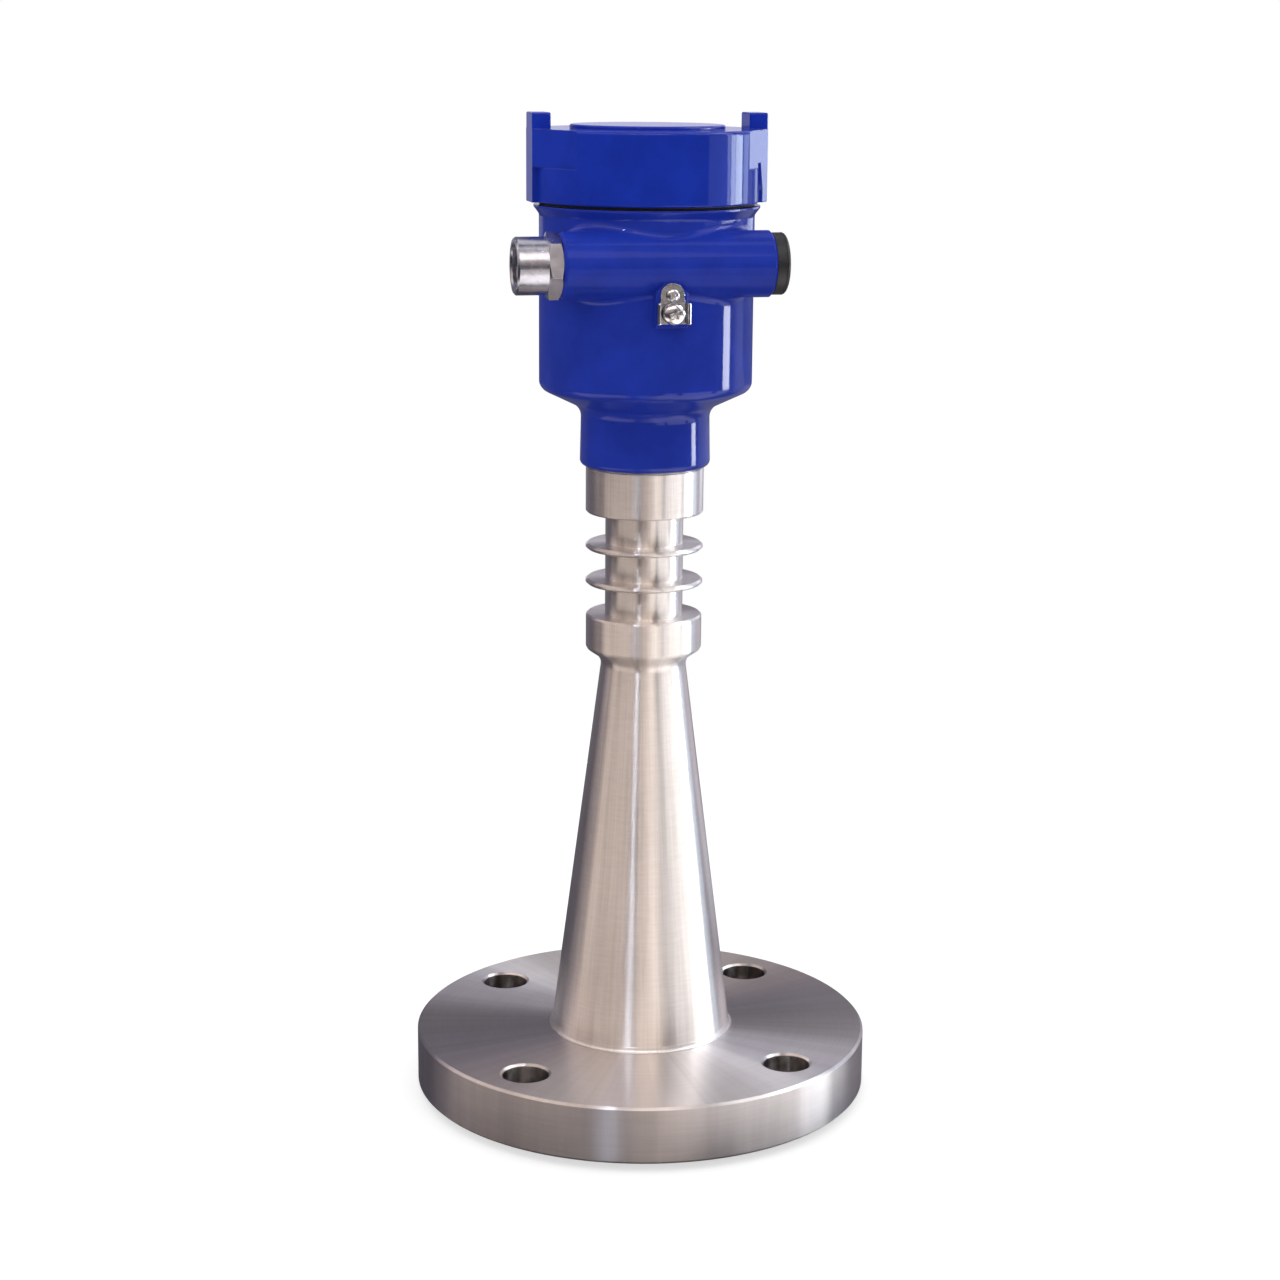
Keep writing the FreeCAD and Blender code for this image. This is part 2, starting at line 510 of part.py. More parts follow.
def extrude(body, name, sketch, length=None, cut=False, both=False, back=False):
    """Pads or pockets a sketch by a named length, or cuts through all."""
    feature = body.newObject("PartDesign::Pocket" if cut else "PartDesign::Pad", name)
    feature.Profile = sketch
    if length:
        feature.setExpression("Length", formula(length))
    else:
        feature.Type = "ThroughAll"
    if both:
        feature.SideType = "Symmetric"
    feature.Reversed = back
    doc.recompute()
    return feature


def dress(body, kind, name, edges, size):
    """A fillet or chamfer on chosen edges of the body's last feature."""
    base = body.Tip
    feature = body.newObject("PartDesign::" + kind, name)
    feature.Base = (base, edges)
    feature.setExpression("Radius" if kind == "Fillet" else "Size", formula(size))
    doc.recompute()
    return feature


def circle_of(edge):
    """The circle that an edge lies on, or None."""
    try:
        curve = edge.Curve
    except TypeError:
        return None
    return curve if isinstance(curve, Part.Circle) else None


def rims(body, radius, rise):
    """Names of full circles about the axis with this radius and height."""
    names = []
    for index, edge in enumerate(body.Tip.Shape.Edges, start=1):
        curve = circle_of(edge)
        if not curve:
            continue
        centre = curve.Center
        near = abs(curve.Radius - amount(radius)) < NEAR and abs(centre.z - amount(rise)) < NEAR
        if near and math.hypot(centre.x, centre.y) < NEAR:
            names.append("Edge%d" % index)
    return names


def repeat_round(body, name, features, count):
    """Spreads features evenly about the body's Z axis."""
    pattern = body.newObject("PartDesign::PolarPattern", name)
    pattern.Originals = features
    pattern.Axis = (origin_feature(body, "Z_Axis"), [""])
    pattern.Angle = 360
    pattern.setExpression("Occurrences", formula(count))
    body.Tip = pattern
    doc.recompute()
    return pattern


def repeat_along(body, name, features, role, length, count):
    """Spaces features along one of the body's axes."""
    pattern = body.newObject("PartDesign::LinearPattern", name)
    pattern.Originals = features
    pattern.Direction = (origin_feature(body, role), [""])
    pattern.setExpression("Length", formula(length))
    pattern.setExpression("Occurrences", formula(count))
    body.Tip = pattern
    doc.recompute()
    return pattern


def mirror_across(body, name, features, role):
    """Repeats features on the other side of one of the body's planes."""
    mirrored = body.newObject("PartDesign::Mirrored", name)
    mirrored.Originals = features
    mirrored.MirrorPlane = (origin_feature(body, role), [""])
    body.Tip = mirrored
    doc.recompute()
    return mirrored


def place(body, axis, angle, x=None, y=None, z=None):
    """Turns a body about an axis and sets it at named distances."""
    turned = FreeCAD.Rotation(FreeCAD.Vector(*axis), angle)
    body.Placement = FreeCAD.Placement(FreeCAD.Vector(0, 0, 0), turned)
    for direction, text in (("x", x), ("y", y), ("z", z)):
        if text:
            body.setExpression("Placement.Base." + direction, formula(text))


def ring_seal(label, centre_radius, section, rise):
    """An O-ring lying level round the axis."""
    ring = doc.addObject("Part::Torus", label)
    ring.Label = label
    ring.setExpression("Radius1", formula(centre_radius))
    ring.setExpression("Radius2", formula(section))
    ring.setExpression("Placement.Base.z", formula(rise))
    return ring


def make_lens():
    """Moulded lens that lines the flange face and fills the horn."""
    body = new_body("antenna_lens")
    revolve(body, "Lens", [
        ("0", "0"),
        ("facing_radius", "0"),
        ("facing_radius", "facing_thick"),
        ("horn_mouth_radius - lens_gap", "facing_thick"),
        ("horn_mouth_radius - lens_gap", "deck"),
        ("horn_neck_radius - lens_gap", "deck + horn_neck_rise"),
        ("lens_tip_radius", "deck + lens_tip_rise"),
        ("0", "deck + lens_tip_rise"),
    ])
    dress(body, "Fillet", "FacingRound", rims(body, "facing_radius", "0"), "flange_bevel")


def make_flange():
    """Pipe flange with a bevelled rim and four bevelled bolt holes."""
    body = new_body("flange")
    place(body, (0, 0, 1), amount("bolt_start"))
    body.setExpression("Placement.Rotation.Angle", formula("bolt_start"))
    revolve(body, "Plate", [
        ("mouth_radius", "facing_thick"),
        ("flange_radius", "facing_thick"),
        ("flange_radius", "deck"),
        ("mouth_radius", "deck"),
    ])
    outer = rims(body, "flange_radius", "deck") + rims(body, "flange_radius", "facing_thick")
    dress(body, "Chamfer", "RimBevel", outer, "flange_bevel")
    sketch = new_sketch(body, "BoltCircle", "XY_Plane", offset="deck")
    draw_circle(sketch, "bolt_line", "0", "bolt_hole_radius")
    hole = extrude(body, "BoltHole", sketch, cut=True)
    repeat_round(body, "BoltHoles", [hole], "bolt_count")
    edges = []
    for index, edge in enumerate(body.Tip.Shape.Edges, start=1):
        curve = circle_of(edge)
        if curve and abs(curve.Radius - amount("bolt_hole_radius")) < NEAR:
            edges.append("Edge%d" % index)
    dress(body, "Chamfer", "BoltHoleBevel", edges, "bolt_bevel")


def make_horn():
    """Cone, hollow curve and collar turned from one bar, bored as a horn."""
    body = new_body("horn")
    revolve(body, "Horn", [
        ("horn_mouth_radius", "deck"),
        ("cone_foot_radius", "deck"),
        ("cone_top_radius", "deck + cone_rise"),
        ("collar_radius", "deck + collar_foot_rise"),
        ("collar_radius", "deck + collar_top_rise"),
        ("socket_radius", "deck + collar_top_rise"),
        ("socket_radius", "deck + socket_rise"),
        ("window_seat_radius", "deck + socket_rise"),
        ("window_seat_radius", "deck + throat_rise"),
        ("throat_radius", "deck + throat_rise"),
        ("horn_neck_radius", "deck + horn_neck_rise"),
    ])
    waist = rims(body, "cone_top_radius", "deck + cone_rise")
    dress(body, "Fillet", "CollarSweep", waist, "cone_fillet")
    edges = rims(body, "collar_radius", "deck + collar_foot_rise")
    edges += rims(body, "collar_radius", "deck + collar_top_rise")
    dress(body, "Chamfer", "CollarBevel", edges, "collar_bevel")


def make_weld_bead():
    """Hollow-faced weld bead that joins the cone to the flange deck."""
    body = new_body("foot_weld")
    foot = "cone_foot_radius + seat_gap"
    revolve(body, "Bead", [
        (foot, "deck"),
        (foot + " + bead_width", "deck"),
        (foot + " + bead_waist + bead_waist", "deck + bead_toe"),
        (foot + " + bead_waist", "deck + bead_waist"),
        (foot + " + bead_toe - bead_lean", "deck + bead_waist + bead_waist"),
        (foot + " - bead_lean", "deck + bead_height"),
    ])


def seal_groove(body, name, radius, rise):
    """A square groove for a small O-ring."""
    revolve(body, name, [
        (radius + " - seal_groove", rise + " - seal_section - seal_room"),
        (radius + " + seal_groove", rise + " - seal_section - seal_room"),
        (radius + " + seal_groove", rise + " - seal_section - seal_room + seal_groove_width"),
        (radius + " - seal_groove", rise + " - seal_section - seal_room + seal_groove_width"),
    ], cut=True)


def make_neck():
    """Finned neck: plug for the horn, stem, two fins, collar and spigot."""
    body = new_body("cooling_neck")
    plug = "socket_radius - seat_gap"
    revolve(body, "Neck", [
        ("neck_bore", "deck + socket_rise"),
        (plug, "deck + socket_rise"),
        (plug, "deck + collar_top_rise"),
        ("stem_radius", "deck + collar_top_rise"),
        ("stem_radius", "deck + head_rise"),
        ("head_radius", "deck + head_rise"),
        ("head_radius", "deck + head_top_rise"),
        ("spigot_radius", "deck + head_top_rise"),
        ("spigot_radius", "deck + spigot_top_rise"),
        ("neck_bore", "deck + spigot_top_rise"),
    ])
    edges = rims(body, "head_radius", "deck + head_rise")
    edges += rims(body, "head_radius", "deck + head_top_rise")
    dress(body, "Chamfer", "HeadBevel", edges, "collar_bevel")
    middle = "deck + fin_rise"
    fin = revolve(body, "Fin", [
        ("stem_radius - overlap", middle + " - fin_half_root"),
        ("stem_radius", middle + " - fin_half_root"),
        ("fin_radius - fin_edge_depth", middle + " - fin_half_rim"),
        ("fin_radius", middle + " - fin_half_edge"),
        ("fin_radius", middle + " + fin_half_edge"),
        ("fin_radius - fin_edge_depth", middle + " + fin_half_rim"),
        ("stem_radius", middle + " + fin_half_root"),
        ("stem_radius - overlap", middle + " + fin_half_root"),
    ])
    repeat_along(body, "Fins", [fin], "Z_Axis", "fin_span", "fin_count")
    seal_groove(body, "NeckSealGroove", plug, "deck + neck_seal_rise")
    seal_groove(body, "SwivelSealGroove", "spigot_radius", "deck + swivel_seal_rise")
    revolve(body, "ClipGroove", [
        ("clip_groove_radius", "deck + clip_groove_rise"),
        ("spigot_radius + cut_over", "deck + clip_groove_rise"),
        ("spigot_radius + cut_over", "deck + clip_groove_rise + clip_groove_width"),
        ("clip_groove_radius", "deck + clip_groove_rise + clip_groove_width"),
    ], cut=True)


def make_neck_fittings():
    """Window disc, waveguide, seals and the clip that holds the housing."""
    window = new_body("feed_window")
    sketch = new_sketch(window, "Disc", "XY_Plane", offset="deck + throat_rise")
    draw_circle(sketch, "0", "0", "window_seat_radius - seat_gap")
    extrude(window, "Window", sketch, "socket_rise - throat_rise")

    guide = new_body("waveguide")
    revolve(guide, "Tube", [
        ("guide_bore", "deck + socket_rise"),
        ("guide_radius", "deck + socket_rise"),
        ("guide_radius", "deck + guide_top_rise"),
        ("guide_bore", "deck + guide_top_rise"),
    ])

    floor = " - seal_groove + seal_section + seat_gap"
    ring_seal("neck_seal", "socket_radius - seat_gap" + floor, "seal_section",
              "deck + neck_seal_rise")
    ring_seal("swivel_seal", "spigot_radius" + floor, "seal_section",
              "deck + swivel_seal_rise")

    clip = new_body("retaining_clip", lift="deck + clip_groove_rise + seat_gap")
    revolve(clip, "Clip", [
        ("clip_groove_radius + clip_play", "0"),
        ("clip_radius", "0"),
        ("clip_radius", "clip_thick"),
        ("clip_groove_radius + clip_play", "clip_thick"),
    ], sweep="clip_sweep")


def make_housing():
    """Cast housing: neck, shoulder, barrel, lip, thread collar and cross tube."""
    body = new_body("housing")
    revolve(body, "Barrel", [
        ("0", "deck + housing_foot_rise"),
        ("housing_neck_radius", "deck + housing_foot_rise"),
        ("housing_waist_radius", "deck + housing_waist_rise"),
        ("housing_radius", "deck + shoulder_rise"),
        ("housing_radius", "deck + lip_start_rise"),
        ("lip_radius", "deck + lip_rise"),
        ("lip_radius", "deck + seat_rise"),
        ("thread_radius", "deck + seat_rise"),
        ("thread_radius", "deck + thread_top_rise"),
        ("0", "deck + thread_top_rise"),
    ])
    dress(body, "Fillet", "FootRound",
          rims(body, "housing_neck_radius", "deck + housing_foot_rise"), "foot_round")
    dress(body, "Fillet", "WaistRound",
          rims(body, "housing_waist_radius", "deck + housing_waist_rise"), "waist_round")
    dress(body, "Fillet", "ShoulderRound",
          rims(body, "housing_radius", "deck + shoulder_rise"), "shoulder_round")
    dress(body, "Fillet", "LipRound",
          rims(body, "housing_radius", "deck + lip_start_rise"), "lip_round")

    tube = new_sketch(body, "EntryCircle", "YZ_Plane")
    draw_circle(tube, "- entry_offset", "deck + entry_rise", "entry_radius")
    extrude(body, "EntryTube", tube, "entry_half + entry_half", both=True)
    meeting = []
    low = amount("deck + entry_rise - entry_radius - overlap")
    high = amount("deck + entry_rise + entry_radius + overlap")
    ends = amount("entry_half - overlap")
    for index, edge in enumerate(body.Tip.Shape.Edges, start=1):
        box = edge.BoundBox
        on_tube = box.ZMin > low and box.ZMax < high and box.YMax < 0
        between_ends = box.XMin > -ends and box.XMax < ends
        if on_tube and between_ends and box.XLength > amount("overlap"):
            meeting.append("Edge%d" % index)
    dress(body, "Fillet", "EntryBlend", meeting, "entry_blend")
    bevel = new_sketch(body, "EntryBevelSection", "XY_Plane", offset="deck + entry_rise")
    wall = "- entry_offset - entry_radius"
    for mouth, inner, outer in (
        ("entry_half", "entry_half - entry_bevel", "entry_half + cut_over"),
        ("- entry_half", "- entry_half + entry_bevel", "- entry_half - cut_over"),
    ):
        draw_loop(bevel, [
            (inner, wall),
            (mouth, wall + " + entry_bevel"),
            (outer, wall + " + entry_bevel"),
            (outer, wall + " - cut_over"),
            (inner, wall + " - cut_over"),
        ])
    left = FreeCAD.Vector(amount("- entry_half"), amount("- entry_offset"), 0)
    right = FreeCAD.Vector(amount("entry_half"), amount("- entry_offset"), 0)
    line = bevel.addGeometry(Part.LineSegment(left, right), True)
    pin_point(bevel, line, 1, "- entry_half", "- entry_offset")
    pin_point(bevel, line, 2, "entry_half", "- entry_offset")
    turning = body.newObject("PartDesign::Groove", "EntryBevel")
    turning.Profile = bevel
    turning.ReferenceAxis = (bevel, ["Axis0"])
    doc.recompute()

    boss = new_sketch(body, "TerminalBoss", "XZ_Plane", offset="pad_root")
    draw_loop(boss, [
        ("- pad_half", "deck + pad_foot_rise"),
        ("pad_half", "deck + pad_foot_rise"),
        ("pad_half", "deck + pad_top_rise - pad_shoulder"),
        ("pad_half - pad_slope", "deck + pad_top_rise"),
        ("- pad_half + pad_slope", "deck + pad_top_rise"),
        ("- pad_half", "deck + pad_top_rise - pad_shoulder"),
    ])
    extrude(body, "TerminalPad", boss, "pad_face - pad_root")

    revolve(body, "Cavity", [
        ("0", "deck + housing_foot_rise - cut_over"),
        ("spigot_radius + seat_gap", "deck + housing_foot_rise - cut_over"),
        ("spigot_radius + seat_gap", "deck + clip_groove_rise"),
        ("well_radius", "deck + clip_groove_rise"),
        ("well_radius", "deck + well_taper_rise"),
        ("ledge_radius", "deck + ledge_rise"),
        ("cavity_radius", "deck + ledge_rise"),
        ("cavity_radius", "deck + thread_top_rise + cut_over"),
        ("0", "deck + thread_top_rise + cut_over"),
    ], cut=True)
    bore = new_sketch(body, "EntryBoreCircle", "YZ_Plane")
    draw_circle(bore, "- entry_offset", "deck + entry_rise", "entry_bore")
    extrude(body, "EntryBore", bore, "entry_half + entry_half + cut_over + cut_over", cut=True, both=True)

    holes = new_sketch(body, "TerminalHoles", "XZ_Plane", offset="pad_face")
    draw_circle(holes, "0", "deck + earth_rise", "earth_bore")
    extrude(body, "EarthHole", holes, "earth_bore_depth", cut=True)
    holes = new_sketch(body, "PinHoleCircle", "XZ_Plane", offset="pad_face")
    draw_circle(holes, "0", "deck + pin_rise", "pin_bore")
    extrude(body, "PinHole", holes, "pin_bore_depth", cut=True)
    lock = new_sketch(body, "LockHoleCircle", "XZ_Plane")
    draw_circle(lock, "0", "deck + lock_rise", "lock_bore")
    extrude(body, "LockHole", lock, "housing_neck_radius + cut_over", cut=True)
    ledge = new_sketch(body, "LedgeHoleCircles", "XY_Plane", offset="deck + ledge_rise")
    draw_circle(ledge, "column_x", "column_y", "column_hole")
    draw_circle(ledge, "- column_x", "column_y", "column_hole")
    extrude(body, "LedgeHoles", ledge, "ledge_hole_depth", cut=True)


def make_lid():
    """Screwed lid with two turning lugs, side flats and a raised field."""
    body = new_body("lid")
    revolve(body, "Cap", [
        ("0", "deck + lid_foot_rise"),
        ("lid_radius", "deck + lid_foot_rise"),
        ("lid_radius", "deck + lid_top_rise"),
        ("plateau_radius", "deck + lid_top_rise"),
        ("plateau_radius", "deck + lid_top_rise + plateau_height"),
        ("0", "deck + lid_top_rise + plateau_height"),
    ])
    dress(body, "Fillet", "RimRound",
          rims(body, "lid_radius", "deck + lid_top_rise"), "lid_top_round")
    dress(body, "Fillet", "LidFootRound",
          rims(body, "lid_radius", "deck + lid_foot_rise"), "lid_foot_round")
    flats = new_sketch(body, "FlatCuts", "XY_Plane", offset="deck + lid_top_rise")
    for side in (1, -1):
        for front in (1, -1):
            corners = [
                ("lug_reach", "lug_half"),
                ("flat_far_x", "flat_far_y"),
                ("flat_far_x + flat_out_x", "flat_far_y + flat_out_y"),
                ("lug_reach + flat_out_x", "lug_half + flat_out_y"),
            ]
            turned = []
            for across, along in corners:
                across = across if side > 0 else mirror_text(across)
                along = along if front > 0 else mirror_text(along)
                turned.append((across, along))
            draw_loop(flats, turned)
    extrude(body, "Flats", flats, "lid_top_rise - lid_step_rise", cut=True)
    dress(body, "Fillet", "PlateauRound",
          rims(body, "plateau_radius", "deck + lid_top_rise + plateau_height"), "lug_round")

    shoulders = new_sketch(body, "LugShoulders", "XY_Plane", offset="deck + lid_step_rise")
    ribs = new_sketch(body, "RibBlocks", "XY_Plane", offset="deck + lid_foot_rise")
    lugs = new_sketch(body, "LugBlocks", "XY_Plane", offset="deck + lid_step_rise")
    notches = new_sketch(body, "NotchFloors", "XY_Plane", offset="deck + lid_foot_rise")
    for side in (1, -1):
        for sketch, corners in (
            (shoulders, [
                ("lug_inner", "flank_y"),
                ("lug_inner", "- flank_y"),
                ("flank_x", "- flank_y"),
                ("lug_reach", "- lug_half"),
                ("lug_reach", "lug_half"),
                ("flank_x", "flank_y"),
            ]),
            (ribs, [
                ("lug_inner + rib_root", "- rib_wall_y"),
                ("rib_wall_x", "- rib_wall_y"),
                ("lug_reach", "- lug_half"),
                ("lug_reach", "lug_half"),
                ("lug_inner + rib_root", "lug_half"),
            ]),
            (notches, [
                ("notch_x", "- rib_wall_y"),
                ("lug_reach", "- rib_wall_y"),
                ("lug_reach", "- notch_far_y"),
                ("notch_far_x", "- notch_far_y"),
            ]),
            (lugs, [
                ("lug_inner", "- lug_half"),
                ("lug_reach", "- lug_half"),
                ("lug_reach", "lug_half"),
                ("lug_inner", "lug_half"),
            ]),
        ):
            turned = corners
            if side < 0:
                turned = [(mirror_text(across), mirror_text(along)) for across, along in corners]
            draw_loop(sketch, turned)
    extrude(body, "Shoulders", shoulders, "lid_top_rise - lid_step_rise")
    extrude(body, "Ribs", ribs, "lid_step_rise - lid_foot_rise")
    extrude(body, "Notches", notches, "notch_lift", cut=True, back=True)
    inner_corners = []
    for index, edge in enumerate(body.Tip.Shape.Edges, start=1):
        box = edge.BoundBox
        on_roof = abs(box.ZMin - amount("deck + lid_foot_rise + notch_lift")) < NEAR
        on_wall = abs(abs(box.Center.y) - amount("rib_wall_y")) < NEAR
        if on_roof and on_wall and box.YLength < NEAR and box.ZLength < NEAR:
            inner_corners.append("Edge%d" % index)
    slant = dress(body, "Chamfer", "NotchRoofSlant", inner_corners, "notch_slant_fall")
    slant.ChamferType = "Two distances"
    slant.setExpression("Size2", formula("notch_slant_run"))
    doc.recompute()
    extrude(body, "Lugs", lugs, "lid_top_rise - lid_step_rise + lug_height")

    rounds = []
    for index, edge in enumerate(body.Tip.Shape.Edges, start=1):
        box = edge.BoundBox
        top = abs(box.ZMin - amount("deck + lid_top_rise + lug_height")) < NEAR
        upright = box.ZLength > amount("lug_height - lug_round")
        on_lug = box.ZMax > amount("deck + lid_top_rise + lug_height") - NEAR
        if top or (upright and on_lug):
            rounds.append("Edge%d" % index)
    dress(body, "Fillet", "LugRound", rounds, "lug_round")

    revolve(body, "Hollow", [
        ("0", "deck + lid_foot_rise - cut_over"),
        ("lid_recess_radius", "deck + lid_foot_rise - cut_over"),
        ("lid_recess_radius", "deck + lid_recess_rise"),
        ("lid_bore", "deck + lid_recess_rise"),
        ("lid_bore", "deck + lid_ceiling_rise"),
        ("0", "deck + lid_ceiling_rise"),
    ], cut=True)
    ring_seal("lid_seal", "lid_seal_radius", "lid_seal_section",
              "deck + seat_rise + lid_seal_section + seat_gap")


def make_adapter():
    """Plated cable adapter: hexagon, barrel with female thread, male shank."""
    body = new_body("cable_adapter")
    place(body, (0, 1, 0), -90, x="- entry_half", y="- entry_offset", z="deck + entry_rise")
    revolve(body, "BarrelAndShank", [
        ("adapter_way", "- shank_length"),
        ("shank_radius - shank_bevel", "- shank_length"),
        ("shank_radius", "- shank_length + shank_bevel"),
        ("shank_radius", "0"),
        ("adapter_radius - overlap", "0"),
        ("adapter_radius - overlap", "hex_length - overlap"),
        ("adapter_radius", "hex_length - overlap"),
        ("adapter_radius", "adapter_length - adapter_bevel"),
        ("adapter_radius - adapter_bevel", "adapter_length"),
        ("adapter_bore + adapter_bevel", "adapter_length"),
        ("adapter_bore", "adapter_length - adapter_bevel"),
        ("adapter_bore", "adapter_bore_floor"),
        ("adapter_way", "adapter_bore_floor"),
    ])
    sketch = new_sketch(body, "Hexagon", "XY_Plane", turn="hex_turn")
    corner = amount("hex_corner")
    places = []
    for step in range(6):
        angle = math.radians(60 * step)
        places.append(FreeCAD.Vector(corner * math.cos(angle), corner * math.sin(angle), 0))
    for step in range(6):
        sketch.addGeometry(Part.LineSegment(places[step], places[(step + 1) % 6]))
    sketch.addGeometry(Part.Circle(FreeCAD.Vector(0, 0, 0), FreeCAD.Vector(0, 0, 1), corner), True)
    for step in range(6):
        sketch.addConstraint(Sketcher.Constraint("Coincident", step, 2, (step + 1) % 6, 1))
        sketch.addConstraint(Sketcher.Constraint("PointOnObject", step, 1, 6))
    for step in range(5):
        sketch.addConstraint(Sketcher.Constraint("Equal", step, step + 1))
    sketch.addConstraint(Sketcher.Constraint("Coincident", 6, 3, -1, 1))
    sketch.addConstraint(Sketcher.Constraint("PointOnObject", 0, 1, -1))
    index = sketch.addConstraint(Sketcher.Constraint("Radius", 6, corner))
    sketch.setExpression("Constraints[%d]" % index, formula("hex_corner"))
    draw_circle(sketch, "0", "0", "adapter_radius - overlap - overlap")
    extrude(body, "HexCollar", sketch, "hex_length")
    for name, low, high in (
        ("OuterHexBevel", "hex_length - hex_bevel", "hex_length + edge_over"),
        ("InnerHexBevel", "hex_bevel", "- edge_over"),
    ):
        revolve(body, name, [
            ("hex_corner + edge_over", low),
            ("hex_corner + cut_over", low),
            ("hex_corner + cut_over", high),
            ("hex_corner - hex_bevel - hex_bevel", high),
        ], cut=True)


def make_plug():
    """Blind plug with a domed head and a hollow threaded shank."""
    body = new_body("blind_plug")
    place(body, (0, 1, 0), 90, x="entry_half", y="- entry_offset", z="deck + entry_rise")
    revolve(body, "Plug", [
        ("plug_hollow", "- plug_shank_length"),
        ("shank_radius - shank_bevel", "- plug_shank_length"),
        ("shank_radius", "- plug_shank_length + shank_bevel"),
        ("shank_radius", "0"),
        ("plug_radius", "0"),
        ("plug_radius", "plug_rim"),
        ("plug_crown", "plug_height"),
        ("0", "plug_height"),
        ("0", "- plug_shank_length + plug_hollow_depth"),
        ("plug_hollow", "- plug_shank_length + plug_hollow_depth"),
    ])
    edges = rims(body, "plug_radius", "plug_rim") + rims(body, "plug_crown", "plug_height")
    dress(body, "Fillet", "CrownRound", edges, "lug_round")


